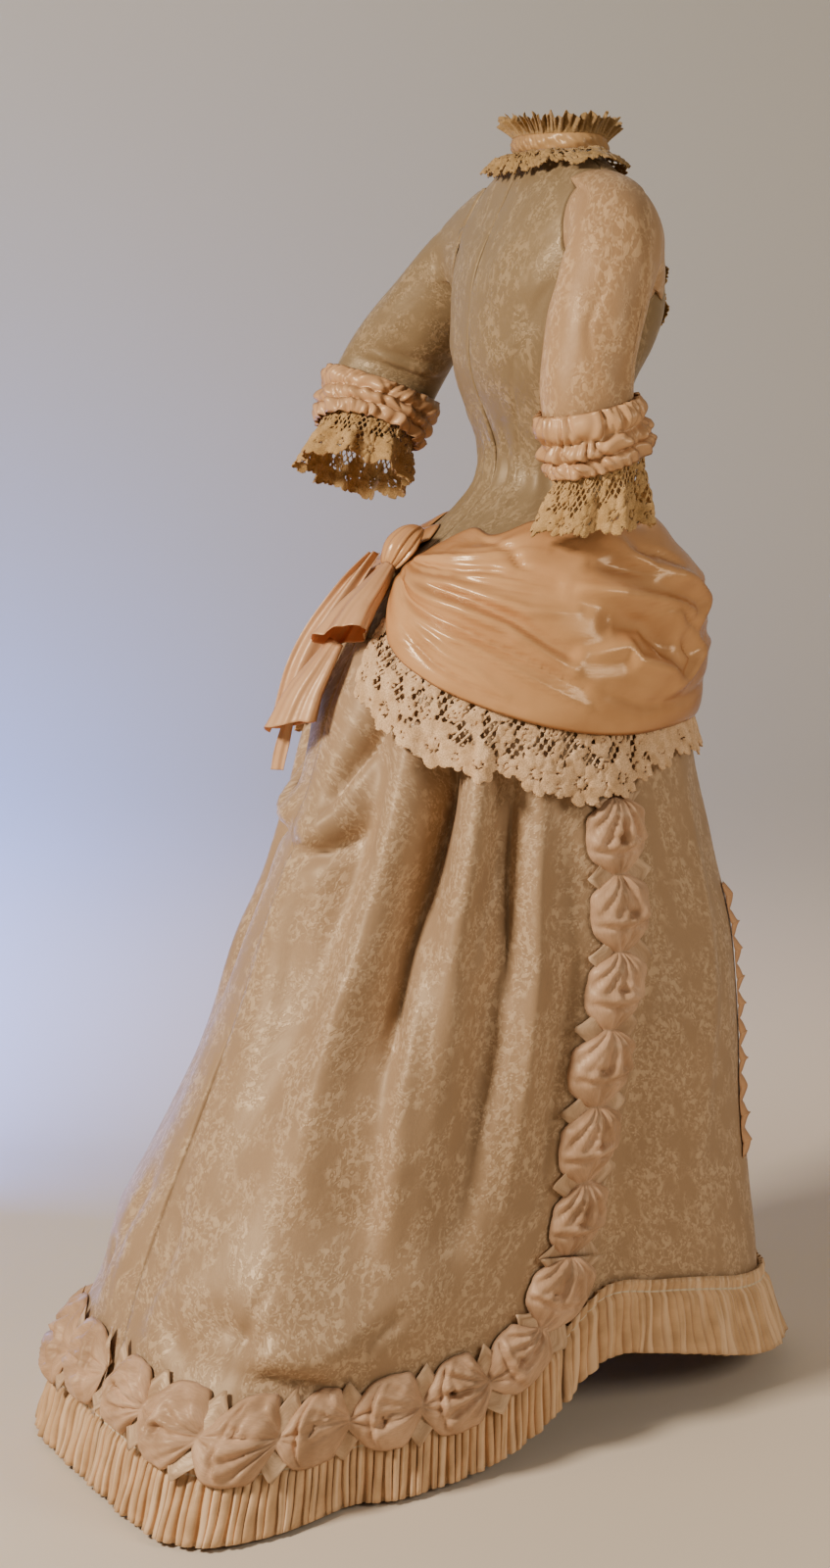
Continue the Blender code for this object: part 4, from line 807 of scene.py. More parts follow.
def armhole_loop(side):
    """The armhole's edge points in order, starting at the underarm."""
    low, high, first, last = armhole_cells(side)
    rows = np.concatenate([np.full(last - first, low), np.arange(low, high), np.full(last - first, high),
                           np.arange(high, low, -1)])
    columns = np.concatenate([np.arange(first, last), np.full(high - low, last), np.arange(last, first, -1),
                              np.full(high - low, first)])
    return bodice_smooth[rows, columns]


def sleeve_turns(side):
    """The angle round the arm of each armhole point, which every ring of the sleeve keeps."""
    loop = armhole_loop(side)
    _, wide, deep = arm_frame(side, np.array(0.0))[:3]
    spread = loop - loop.mean(0)
    return np.arctan2(spread @ deep, spread @ wide)


def sleeve_grid(side):
    """Rings that blend from the armhole to ovals round the arm, with a few long creases."""
    loop, turn = armhole_loop(side), sleeve_turns(side)[None, :]
    along = (np.linspace(0, 1, SLEEVE_ROWS) ** 1.15 * SLEEVE_STATIONS["along"][-1])[:, None]
    share = curve(along, SLEEVE_STATIONS["along"], SLEEVE_STATIONS["blend"])[..., None]
    head = loop + (loop - loop.mean(0)) * 0.004
    head = head + np.array([side * 0.99, side * -0.14, 0.15]) * (0.0006 + 0.03 * along)[..., None]
    push = crease_push(turn * ARM_ROUND, along * CREASE_ROW_LENGTH, side, [
        (s, depth, width, power, [(a, b * CREASE_ROW_LENGTH) for a, b in path])
        for s, depth, width, power, path in SLEEVE_CREASES[side]
    ])
    push = push + 0.0010 * np.sin(5 * turn + 2.2 * along) * np.sin(1.7 * along + turn) * smooth_step(along)
    points = head * (1 - share) + arm_section(side, along + 0 * turn, turn + 0 * along, push) * share
    return np.concatenate([points[:1], kept_off_body(points[1:], side, BODY_CLEARANCE)])


for side in (RIGHT, LEFT):
    # Painted light and shade: both sleeves are one cloth, but the right sleeve gets a lighter, pinker copy of
    # the brocade and the left one the bodice's darker brocade.
    finish = LIT_SLEEVE_BROCADE if side == RIGHT else BODICE_BROCADE
    cloth(side_name("sleeve_cloth", side), sleeve_grid(side), finish, [side_name("sleeve", side)],
          closed=True, inside=arm_axis(side))
print("sleeves:", [row for row in declared if row[0].startswith("sleeve")])

# %% [markdown]
# ## The skirt
# A plain front and two back panels that meet behind. The creases below were drawn from the right
# side, where the drape gathers the cloth into one deep fold and several soft ones; the left side has
# its own, a little apart, because cloth never falls twice the same way.

# %% Creases of the skirt
SKIRT_TOP, FRONT_PANEL_ANGLE = 0.905, 80.0
ARC = 0.26
SKIRT_CREASES = (
    (-0.017, 0.012, 1.5,
     ((136, 0.775), (138, 0.726), (143, 0.648), (145, 0.574), (145, 0.514), (143, 0.470))),
    (-0.009, 0.030, 2.0, ((145, 0.500), (144, 0.440), (142, 0.355), (139, 0.277), (138, 0.215))),
    (-0.010, 0.014, 1.8, ((121, 0.760), (122, 0.676), (126, 0.606), (127, 0.557), (124, 0.510))),
    (-0.006, 0.026, 2.0, ((123, 0.520), (122, 0.440), (119, 0.326), (119, 0.240))),
    (-0.007, 0.005, 1.2, ((116, 0.755), (117, 0.654), (116, 0.525))),
    (-0.006, 0.016, 2.0, ((172, 0.640), (171, 0.562), (169, 0.480))),
    (0.007, 0.014, 2.0, ((141, 0.600), (138, 0.454), (136, 0.354), (135, 0.250))),
    (0.006, 0.013, 2.0, ((151, 0.580), (153, 0.512), (152, 0.412), (151, 0.325))),
    (-0.009, 0.030, 2.0, ((60, 0.680), (62, 0.568), (68, 0.480), (67, 0.400), (66, 0.320), (66, 0.230))),
    (-0.004, 0.004, 1.4, ((151, 0.252), (154, 0.201), (156, 0.150))),
    (-0.011, 0.010, 1.5, ((152, 0.158), (147, 0.150), (144, 0.143), (140, 0.128))),
    (0.011, 0.020, 2.0, ((152, 0.190), (147, 0.182), (142, 0.176), (137, 0.170))),
    (-0.008, 0.012, 2.0, ((170, 0.225), (168, 0.188), (164, 0.160))),
    (-0.007, 0.012, 2.0, ((160, 0.210), (154, 0.192), (150, 0.200))),
    (-0.014, 0.010, 1.3, ((159, 0.835), (164, 0.788), (168, 0.759), (172, 0.712))),
    (-0.012, 0.009, 1.4, ((179.5, 0.672), (174, 0.668), (168, 0.676), (162, 0.694))),
    (0.010, 0.020, 2.0, ((179.5, 0.700), (173, 0.700), (167, 0.712), (161, 0.735))),
    (0.005, 0.012, 2.0, ((108, 0.740), (109, 0.600), (108, 0.430), (107, 0.290))),
    (-0.005, 0.010, 2.0, ((96, 0.560), (97, 0.440), (97, 0.300))),
    (0.005, 0.018, 2.0, ((44, 0.700), (45, 0.500), (46, 0.300))),
    (-0.004, 0.020, 2.0, ((12, 0.720), (13, 0.500), (14, 0.260))),
    (-0.006, 0.010, 1.6, ((128, 0.210), (134, 0.186), (138, 0.150))),
    (-0.006, 0.010, 1.6, ((176, 0.300), (174, 0.240), (176, 0.180))),
)
LEFT_SHIFT, LEFT_SHARE = (-4.0, 0.012), 0.85


def skirt_creases():
    """The creases of both sides as paths in metres; the left ones are moved and shallower."""
    made = []
    for k, (depth, width, power, path) in enumerate(SKIRT_CREASES):
        path = np.array(path, float)
        for side in (RIGHT, LEFT):
            moved = path + (0 if side == RIGHT else np.array(LEFT_SHIFT) * (1 + 0.4 * np.sin(3 * k)))
            share = 1.8 if side == RIGHT else 1.8 * LEFT_SHARE + 0.25 * np.cos(2 * k)
            line = np.stack([np.radians(moved[:, 0]) * ARC, moved[:, 1]], -1)
            made.append((side, depth * share, width, power, line))
    return made


def skirt_surface(angle, height, hollows=1.0):
    """The skirt with its folds, creases and a slow ripple that runs down the cloth."""
    degrees, side = turned(angle)
    across = np.radians(degrees) * ARC
    push = crease_push(across, height + 0 * angle, side, skirt_creases())
    ripple = 0.0022 * np.sin(21 * across + 1.8 * side + 3.0 * height) * np.sin(9 * height + 14 * across)
    small = 0.0010 * np.sin(55 * across + 17 * height) * np.sin(31 * height - 23 * across + side)
    push = hollows * push + (ripple + small) * smooth_step((SKIRT_TOP - height) / 0.1)
    return skirt_point(angle, height, hollows) + push[..., None] * outward(angle + 0 * height)


def skirt_sheet(angles, rows):
    """Rows of skirt points from under the drape to the skirt's own edge."""
    drop = hem_value(angles, "skirt_edge")[None, :] - SKIRT_TOP
    heights = SKIRT_TOP + drop * np.linspace(0, 1, rows)[:, None]
    return skirt_surface(angles[None, :] + 0 * heights, heights)


# %% Three skirt panels
edge = np.radians(FRONT_PANEL_ANGLE)
PANELS = (
    ("skirt_front", np.linspace(-edge, edge, 104), 96),
    ("skirt_back_left", np.linspace(edge, np.pi, 110), 106),
    ("skirt_back_right", np.linspace(-np.pi, -edge, 110), 106),
)
for node, angles, rows in PANELS:
    sheet_points = skirt_sheet(angles, rows)
    cloth(node + "_cloth", sheet_points, BROCADE, [node])
print("skirt:", [row for row in declared if row[0].startswith("skirt")])
# %% [markdown]
# ## Lace
# Lace is mostly holes, so it is drawn as a height field on the flat cloth: positive where there is
# thread. Flowers, spirals, leaves and the bars that join them each give a field, and the highest
# wins. The sheet is then cut along the line where the field is zero, laid on the dress and thickened.

# %% Cutting a sheet where a field turns negative
def cut_by_field(field):
    """Triangles of a grid where the field is positive, cut along its zero line.

    Each cell is two triangles. One with a single corner in gives one triangle, one with two corners
    in gives two; the cut points lie where a straight line between the corners crosses zero.
    Returns fractional rows and columns of the points, and the triangles.
    """
    rows, columns = field.shape
    number = np.arange(rows * columns).reshape(rows, columns)
    a, b, c, d = number[:-1, :-1], number[:-1, 1:], number[1:, 1:], number[1:, :-1]
    halves = [np.stack(corners, -1).reshape(-1, 3) for corners in ((a, b, c), (a, c, d))]
    triangles = np.concatenate(halves)
    flat = field.ravel()
    inside = flat[triangles] > 0
    count = inside.sum(1)

    def led_by(chosen, corner):
        turns = (corner[:, None] + np.arange(3)) % 3
        return np.take_along_axis(triangles[chosen], turns, 1)

    one = led_by(count == 1, inside[count == 1].argmax(1))
    two = led_by(count == 2, (~inside[count == 2]).argmax(1))
    ends = np.concatenate([one[:, [0, 1]], one[:, [0, 2]], two[:, [0, 1]], two[:, [0, 2]]])
    ends = np.sort(ends, 1)
    edges, which = np.unique(ends, axis=0, return_inverse=True)
    which = which.ravel() + rows * columns
    low, high = edges.T
    share = flat[low] / (flat[low] - flat[high])
    at = np.stack(np.divmod(np.arange(rows * columns), columns), -1).astype(float)
    cut = at[low] + (at[high] - at[low]) * share[:, None]
    n, m = len(one), len(two)
    first, second, third, fourth = which[:n], which[n : 2 * n], which[2 * n : 2 * n + m], which[2 * n + m :]
    parts = [
        triangles[count == 3],
        np.stack([one[:, 0], first, second], -1),
        np.stack([third, two[:, 1], two[:, 2]], -1),
        np.stack([third, two[:, 2], fourth], -1),
    ]
    return np.concatenate([at, cut]), np.concatenate(parts)


# %% Flowers, spirals, leaves and bars
def daisy(x, y, radius, petals, turn):
    """Field and relief of a flower: a lobed outline, a ring of holes round its eye, domed petals."""
    r, a = np.hypot(x, y), np.arctan2(y, x) + turn
    lobe = np.abs(np.cos(a * petals / 2))
    outline = radius * (0.66 + 0.34 * lobe**0.42) - r
    ring = np.abs(r - 0.26 * radius) - 0.10 * radius * (lobe > 0.55)
    hole = np.where((r > 0.18 * radius) & (r < 0.34 * radius), ring, 1.0)
    dome = 0.15 + 0.95 * lobe**0.7 * smooth_step(r / radius / 0.5) + 0.8 * np.exp(-((r / radius / 0.16) ** 2))
    return np.minimum(outline, hole), dome


def spiral(x, y, radius, petals, turn):
    """A thread wound into a coil: thread half width less the distance to the coil's line."""
    r, a = np.hypot(x, y), np.arctan2(y, x) + turn
    pitch = radius / 2.1
    away = np.abs((r - pitch * a / (2 * np.pi)) % pitch - pitch / 2)
    return np.minimum(away - pitch * 0.18, radius - r), 0.5 + away / pitch


def leaf(x, y, radius, petals, turn):
    """A pointed oval with a groove down its middle."""
    c, s = np.cos(turn), np.sin(turn)
    along, across = x * c + y * s, -x * s + y * c
    width = 0.40 * radius * np.clip(1 - (along / radius) ** 2, 0, 1)
    return np.where(np.abs(along) < radius, width - np.abs(across), -1.0), 0.3 + np.abs(across) / radius * 2


MOTIFS = (daisy, spiral, leaf)
BAR_SPACING, BAR_HALF = 0.0074, 0.0010
RELIEF = 0.0023


def bars(x, y):
    """Two crossing sets of slanting threads."""
    sets = [np.abs((x * c + y * s) % BAR_SPACING - BAR_SPACING / 2) for c, s in ((0.82, 0.57), (-0.82, 0.57))]
    return BAR_HALF - np.minimum(*sets)


def garden(length, depth, big, pitch, seed, rows=3):
    """Motifs of a lace border: kind, x, y, size, petals and turn of each.

    Large flowers stand along the lower edge, small ones between them, then rows of spirals, leaves
    and little flowers up to the heading. depth gives the border's depth at each x.
    """
    made = []
    count = max(2, int(round(length / pitch)))
    x = (np.arange(count) + 0.5 + 0.22 * (scatter(count, seed) - 0.5)) * length / count
    size = big * (0.88 + 0.24 * scatter(count, seed + 1))
    made += list(zip(0 * x, x, depth(x) - size, size, 7 + np.round(2 * scatter(count, seed + 2)), x * 90))
    between = x[:-1] + np.diff(x) / 2
    small = big * (0.48 + 0.14 * scatter(count - 1, seed + 3))
    foot = depth(between) - small * 1.5
    made += list(zip(0 * between, between, foot, small, 0 * between + 6, between * 50))
    for row in range(rows):
        n = max(2, int(round(length / (big * 1.25))))
        x = (np.arange(n) + 0.25 + 0.5 * scatter(n, seed + 5 + row)) * length / n
        y = depth(x) * (0.13 + 0.50 * (row + 0.35 * scatter(n, seed + 9 + row)) / rows)
        kind = np.array([1, 0, 2, 2, 0, 1, 2])[(np.arange(n) * 3 + row * 2 + seed) % 7]
        size = big * np.choose(kind, [0.44, 0.40, 0.52]) * (0.85 + 0.3 * scatter(n, seed + 13 + row))
        made += list(zip(kind, x, y, size, 0 * x + 5 + row % 2, scatter(n, seed + 17 + row) * 6.3))
    return made


LACE_THICKNESS = 0.0009


def lace_field(x, y, depth, motifs, heading=0.003):
    """The highest of all motif fields, of the bars above the lower flowers and of the heading."""
    big = max(size for _, _, _, size, _, _ in motifs)
    field = np.minimum(bars(x, y), (depth(x) - 0.9 * big) - y)
    relief = np.zeros(x.shape)
    for kind, at_x, at_y, size, petals, turn in motifs:
        near = np.abs(x[0] - at_x) < size * 1.1
        shape, raised = MOTIFS[int(kind)](x[:, near] - at_x, y[:, near] - at_y, size, petals, turn)
        relief[:, near] = np.where(shape > 0, np.maximum(relief[:, near], raised), relief[:, near])
        field[:, near] = np.maximum(field[:, near], shape)
    return np.maximum(field, heading - y), relief


def lace(name, length, depth, surface, motifs, step, nodes, inside=body_axis, finish=LACE):
    """A lace border: surface(x, y, rise) lays metres across and down on the dress."""
    columns = int(np.ceil(length / step)) + 1
    across = np.linspace(0, length, columns)
    deepest = float(depth(across).max()) + 0.004
    rows = int(np.ceil(deepest / step)) + 1
    x, y = np.meshgrid(across, np.linspace(0, deepest, rows))
    field, relief = lace_field(x, y, depth, motifs)
    at, faces = cut_by_field(field)
    used, faces = np.unique(faces, return_inverse=True)
    faces = faces.reshape(-1, 3)
    row, column = at[used].T
    flat = np.stack([column * length / (columns - 1), row * deepest / (rows - 1)], -1)
    nearest = (np.clip(np.round(row), 0, rows - 1).astype(int),
               np.clip(np.round(column), 0, columns - 1).astype(int))
    points = surface(flat[:, 0], flat[:, 1], relief[nearest] * RELIEF)
    if not facing_out(points, faces, inside):
        faces = faces[:, ::-1]
    piece = make_mesh(name, points, faces, flat[faces.ravel()] * [1, -1], finish)
    a, b, c = (points[faces[:, k]] for k in range(3))
    area = np.linalg.norm(np.cross(b - a, c - a), axis=1).sum() / 2
    thickened(piece, LACE_THICKNESS)
    print(name, "share of the strip:", round(area / (length * deepest), 2), "triangles:", len(faces))
    return dress_with(piece, nodes, (float(length), deepest), float(area))


# %% [markdown]
# ## The satin drape
# A wide piece of satin is swathed round the hips and pulled up to the knot behind. Its folds run
# from the knot and spread towards the front, where one hooks round a deep hollow. They are drawn as
# ridges and grooves on the drape's own map, as the skirt's creases are.

# %% The drape's form and folds
SASH = table(
    "angle top foot lift",
    (0, 1.022, 0.806, 0.014),
    (25, 1.026, 0.802, 0.020),
    (48, 1.032, 0.802, 0.028),
    (60, 1.034, 0.801, 0.028),
    (76, 1.032, 0.800, 0.024),
    (94, 1.030, 0.806, 0.022),
    (109, 1.028, 0.817, 0.020),
    (128, 1.028, 0.838, 0.019),
    (147, 1.024, 0.866, 0.015),
    (162, 1.020, 0.900, 0.011),
    (174, 1.004, 0.955, 0.008),
)
SASH_SECTIONS = table("share depth width", (0.14, 0.60, 0.07), (0.38, 0.90, 0.07), (0.62, 0.75, 0.07),
                      (0.88, 0.70, 0.07))
SASH_REST = table("share out", (0.0, 0.0085), (0.7, 0.0095), (1.0, 0.0028))
SASH_END, SASH_ARC, SASH_DEEP, BROAD_FOLDS = 173.6, 0.0037, 0.215, 0.30
SASH_FOLDS = (
    (-0.0055, 0.0036, 1.6, ((168, 0.42), (140, 0.38), (118, 0.30), (98, 0.20))),
    (0.0048, 0.0045, 2.0, ((162, 0.36), (136, 0.30), (114, 0.20), (96, 0.12))),
    (-0.0045, 0.0036, 1.6, ((158, 0.22), (146, 0.13), (132, 0.08), (116, 0.05))),
    (0.0042, 0.0040, 2.0, ((171, 0.74), (156, 0.78), (138, 0.83), (118, 0.86))),
    (-0.0042, 0.0034, 1.6, ((172, 0.60), (150, 0.67), (130, 0.65), (110, 0.63))),
    (-0.0060, 0.0045, 1.6, ((86, 0.62), (74, 0.58), (62, 0.54), (52, 0.44))),
    (-0.0050, 0.0042, 1.6, ((84, 0.86), (68, 0.82), (56, 0.74))),
    (-0.0070, 0.0055, 1.4, ((171, 0.66), (161, 0.69), (137, 0.73), (107, 0.67))),
    (-0.0060, 0.0050, 1.4, ((153, 0.97), (132, 0.84), (127, 0.77), (113, 0.72))),
    (0.0055, 0.0075, 2.0, ((170, 0.55), (148, 0.61), (128, 0.56), (120, 0.54), (104, 0.57))),
    (0.0080, 0.0085, 2.0, ((166, 0.50), (142, 0.49), (125, 0.43), (102, 0.28))),
    (-0.0080, 0.0080, 1.6, ((160, 0.57), (140, 0.555), (124, 0.49), (104, 0.36))),
    (0.0045, 0.0060, 2.0, ((156, 0.30), (141, 0.20), (133, 0.18), (122, 0.10))),
    (0.0040, 0.0090, 2.0, ((158, 0.83), (146, 0.86), (130, 0.92), (112, 0.93))),
    (0.0110, 0.0110, 2.0, ((94, 0.92), (73, 0.74), (55, 0.66), (44, 0.58), (50, 0.48))),
    (0.0100, 0.0100, 2.0, ((108, 0.68), (90, 0.65), (70, 0.585), (56, 0.52))),
    (-0.0150, 0.0150, 2.0, ((92, 0.52), (76, 0.50), (68, 0.43), (62, 0.33))),
    (-0.0080, 0.0080, 1.6, ((100, 0.80), (82, 0.76), (66, 0.70))),
    (0.0080, 0.0100, 2.0, ((100, 0.36), (84, 0.40), (80, 0.33), (66, 0.26), (60, 0.20))),
    (0.0060, 0.0080, 2.0, ((54, 0.42), (46, 0.34), (56, 0.22), (66, 0.14))),
    (-0.0070, 0.0070, 1.8, ((58, 0.40), (52, 0.30), (60, 0.20))),
    (0.0060, 0.0120, 2.0, ((38, 0.70), (24, 0.64), (6, 0.60))),
    (-0.0060, 0.0080, 1.8, ((40, 0.55), (24, 0.50), (4, 0.48))),
    (0.0060, 0.0110, 2.0, ((36, 0.36), (20, 0.34), (2, 0.36))),
    (-0.0050, 0.0070, 1.8, ((44, 0.88), (26, 0.82), (6, 0.80))),
    (-0.0045, 0.0070, 1.6, ((90, 0.20), (74, 0.13), (52, 0.12), (30, 0.18))),
)


def outer_point(angle, height):
    """The dress's main surface between the knees and the waist, spanning the hollows."""
    sections = BODICE_SECTIONS["side_height"]
    level = curve(height, sections, np.arange(len(sections), dtype=float))
    upper, lower = bodice_point(angle, level), skirt_point(angle, height, hollows=0.0)
    return np.where((height > SKIRT_TOP)[..., None], upper, lower)


def sash_creases():
    """The folds of both sides as paths in metres; the left ones are shifted and uneven."""
    made = []
    for k, (depth, width, power, path) in enumerate(SASH_FOLDS):
        path = np.array(path, float)
        for side in (RIGHT, LEFT):
            uneven = np.array([5.0 * np.sin(2.3 * k + 1), 0.035 * np.cos(1.7 * k)]) * (side == LEFT)
            line = (path + uneven) * [SASH_ARC, SASH_DEEP]
            made.append((side, depth * (1.5 if side == RIGHT else 1.2), width * 0.9, power, line))
    return made


def sash_point(side, degrees, share):
    """Point of the drape: share runs from its lower edge to its upper one."""
    top, foot, lift = (curve(degrees, SASH["angle"], SASH[name]) for name in ("top", "foot", "lift"))
    dip = 0.006 * np.sin(degrees * 0.16) * smooth_step((share - 0.8) / 0.2)
    height = foot + (top - foot) * share + dip
    folds = sum(d * np.exp(-(((share - s) / w) ** 2)) for s, d, w in zip(*SASH_SECTIONS.values()))
    belly = np.sin(np.pi * np.clip(share, 0, 1)) ** 0.6
    base = np.interp(share, SASH_REST["share"], SASH_REST["out"])
    creases = crease_push(degrees * SASH_ARC, share * SASH_DEEP, side, sash_creases())
    out = base + lift * belly * (1.0 - 0.75 * BROAD_FOLDS * folds)
    out = np.maximum(out + creases * smooth_step(share / 0.08) * smooth_step((1 - share) / 0.08), base * 0.8)
    angle = np.radians(degrees) * side
    return outer_point(angle, height) + out[..., None] * outward(angle, 0.25)


for side in (RIGHT, LEFT):
    degrees, share = np.meshgrid(np.linspace(0.0, SASH_END, 126), np.linspace(1, 0, 60))
    cloth(side_name("sash_cloth", side), sash_point(side, degrees, share), SATIN,
          [side_name("sash", side)])
print("drape:", [row for row in declared if row[0].startswith("sash")])

# %% [markdown]
# ## Lace under the drape
# A deep border of needle lace falls from under the satin. Its lower edge is a row of large daisies.

# %% The hip lace
HIP_LACE = table(
    "angle foot",
    (0, 0.760),
    (42, 0.762),
    (55, 0.768),
    (73, 0.742),
    (88, 0.730),
    (99, 0.730),
    (108, 0.740),
    (117, 0.757),
    (130, 0.763),
    (147, 0.787),
    (163, 0.832),
    (172, 0.865),
)
HIP_LACE_END, HIP_TUCK = 171.0, 0.012
HIP_RISE = table("down rise", (0.0, 0.0026), (0.34, 0.0060), (0.72, 0.0090), (1.0, 0.0110))
LACE_STEP = 0.0023


def hip_lace_layout(side):
    """Run in metres along the drape's lower edge against degrees from the front."""
    degrees = np.linspace(0, HIP_LACE_END, 400)
    foot = curve(degrees, SASH["angle"], SASH["foot"])
    edge_points = outer_point(np.radians(degrees) * side, foot - 0.03)
    return degrees, np.concatenate([[0], np.cumsum(np.linalg.norm(np.diff(edge_points, axis=0), axis=1))])


def hip_lace(side):
    """The border of one side: the run gives the angle, and the depth is taken straight down."""
    degrees, run = hip_lace_layout(side)

    def depth(x):
        a = np.interp(x, run, degrees)
        top = curve(a, SASH["angle"], SASH["foot"]) + HIP_TUCK
        return top - curve(a, HIP_LACE["angle"], HIP_LACE["foot"])

    def surface(x, y, raised):
        a = np.interp(x, run, degrees)
        down = np.clip(y / depth(x), 0, 1.1)
        height = curve(a, SASH["angle"], SASH["foot"]) + HIP_TUCK - y
        wave = 0.0022 * np.sin(x * 2 * np.pi / 0.078) * down
        out = curve(down, HIP_RISE["down"], HIP_RISE["rise"]) + wave + raised
        angle = np.radians(a) * side
        return outer_point(angle, height) + out[:, None] * outward(angle)

    motifs = garden(run[-1], depth, 0.0235, 0.058, 3 if side == RIGHT else 8)
    return lace(side_name("hip_lace_cloth", side), run[-1], depth, surface, motifs, LACE_STEP,
                [side_name("hip_lace", side)])


for side in (RIGHT, LEFT):
    hip_lace(side)
# %% [markdown]
# ## Cuffs and their lace
# A cuff is a satin band drawn up on four gathering threads, so three soft puffs stand between them
# and fine crimps run out of every thread. The lace frill is gathered under its lower edge.

# %% Cuffs
CLOTH_GAP = 0.0018
CUFF_PUFF = 0.0105


def cuff_grid(side):
    """Three rows of puffs round the arm; every row has its own uneven bulges and crimps."""
    turn = np.linspace(0, 2 * np.pi, 164, endpoint=False)[None, :]
    down = np.linspace(0, 1, 36)[:, None]
    row = np.minimum(np.floor(3 * down), 2)
    within = 3 * down - row
    belly = np.sin(np.pi * within) ** 0.6
    shift = 1.9 * row + (0.7 if side == RIGHT else 2.1)
    wander = 0.9 * np.sin(3 * turn + shift) + 0.6 * np.sin(5 * turn - 2 * shift) + 0.7 * (within - 0.5)
    bulge = 0.42 + 0.62 * np.abs(np.sin(4.5 * turn + wander)) ** 0.55 - 0.14 * np.sin(12 * turn - 3 * shift)
    bend = 3.2 * np.sin(4 * turn + shift) + 2.2 * np.sin(3.0 * within + shift)
    bend = bend + 1.5 * np.sin(7 * turn - shift)
    crimp = np.sin(29 * turn + 3 * shift + bend)
    crimp = crimp + 0.8 * np.sin(18 * turn - 2 * shift + 2.4 * within + 0.8 * bend)
    crimps = (0.0009 + 0.0020 * (1 - belly) + 0.0010 * belly * np.sin(5 * turn + shift) ** 2) * crimp
    creases = -0.0042 * belly * np.exp(-((np.sin(4.5 * turn + shift + 1.3 * within) / 0.20) ** 2))
    edge_frill = 0.0030 * np.exp(-((down / 0.03) ** 2)) + 0.0024 * np.exp(-(((1 - down) / 0.03) ** 2))
    out = CLOTH_GAP + 0.0004 + CUFF_PUFF * belly * bulge + crimps + creases * 0.8 + edge_frill
    along = CUFF_START + (CUFF_END - CUFF_START) * down + 0.030 * np.sin(5 * turn + shift) * belly
    grid = arm_section(side, along, turn + 0 * down, np.maximum(out, 0.0012))
    return kept_off_body(grid, side, BODY_CLEARANCE + 0.0012)


CUFF_FRILL = table("down wave out", (0.00, 0.00, -0.0018), (0.16, 0.05, -0.0018), (0.50, 0.60, 0.0),
                   (1.00, 1.00, 0.001))


def cuff_lace(side):
    """A gathered frill of lace: a third more cloth than the arm is round, in eight soft waves."""
    start = CUFF_END - 0.20
    alongs = np.linspace(start, FRILL_END + 0.02, 60)
    middles = arm_frame(side, alongs)[0]
    run = np.concatenate([[0], np.cumsum(np.linalg.norm(np.diff(middles, axis=0), axis=1))])
    length = 0.50

    def depth(x):
        return 0 * x + run[-1]

    def surface(x, y, raised):
        turn = x / length * 2 * np.pi
        down = np.clip(y / run[-1], 0, 1)
        wave, out = (curve(down, CUFF_FRILL["down"], CUFF_FRILL[name]) for name in ("wave", "out"))
        ruffle = 0.0080 * np.sin(8 * turn + 0.4) + 0.0022 * np.sin(19 * turn + 1.5)
        points = arm_section(side, np.interp(y, run, alongs), turn, out + wave * ruffle + raised)
        return kept_off_body(points, side, BODY_CLEARANCE + 0.002)

    motifs = garden(length, depth, 0.0205, 0.041, 21 if side == RIGHT else 27, rows=2)
    nodes = [side_name("cuff_lace_front", side), side_name("cuff_lace_back", side)]
    return lace(side_name("cuff_lace_cloth", side), length, depth, surface, motifs, 0.0019, nodes,
                arm_axis(side), GOLD_LACE)


for side in (RIGHT, LEFT):
    cloth(side_name("cuff_cloth", side), cuff_grid(side), CUFF_SATIN, [side_name("cuff", side)],
          closed=True, inside=arm_axis(side))
    cuff_lace(side)

# %% [markdown]
# ## Collar
# A folded satin band covers the neck seam, a crimped net ruff stands in it and golden lace falls
# from it over the shoulders and down both sides of the open front.

# %% Band, ruff, fall and front lace
NECK_TOP = len(BODICE_SECTIONS["front"]) - 1
NECK_START = np.radians(NECK_OPENING_ANGLE + 3)


def neck_ring(count):
    """Neck points from one side of the opening round the back to the other, and their outward way."""
    angle = np.linspace(NECK_START, 2 * np.pi - NECK_START, count)
    return angle, bodice_point(angle, np.full(angle.shape, float(NECK_TOP))), outward(angle)


def bodice_normal(angle, level):
    """Outward direction of the bodice, from small steps round it and up it."""
    around = bodice_point(angle + 0.01, level) - bodice_point(angle - 0.01, level)
    up = bodice_point(angle, level + 0.05) - bodice_point(angle, level - 0.05)
    return unit(np.cross(around, up))


def collar_band():
    angle, neck, out = neck_ring(170)
    up = np.linspace(0, 1, 12)[:, None]
    fold = 0.0016 * np.sin(9 * up + 5 * angle) * np.sin(14 * angle + 2 * up)
    fold = fold + 0.0008 * np.sin(47 * angle + 9 * up)
    away = 0.0032 * np.sin(np.pi * up) ** 0.7 + 0.0030 * up + fold * np.sin(np.pi * up)
    return neck + away[..., None] * out + (0.0008 + 0.0192 * up)[..., None] * [0, 0, 1]


def collar_ruff():
    angle, neck, out = neck_ring(620)
    up = np.linspace(0, 1, 10)[:, None]
    crimp = np.sin(48 * angle + 2.6 * np.sin(7 * angle))
    crimp = crimp + 0.8 * np.sin(91 * angle + 3 * up + 2 * np.sin(5 * angle))
    away = 0.0030 + 0.0150 * up**1.3 + 0.0030 * crimp * up**0.8
    height = 0.0185 + up * (0.0195 + 0.0030 * np.sin(23 * angle + 2) + 0.0024 * np.sin(57 * angle))
    return neck + away[..., None] * out + height[..., None] * [0, 0, 1]


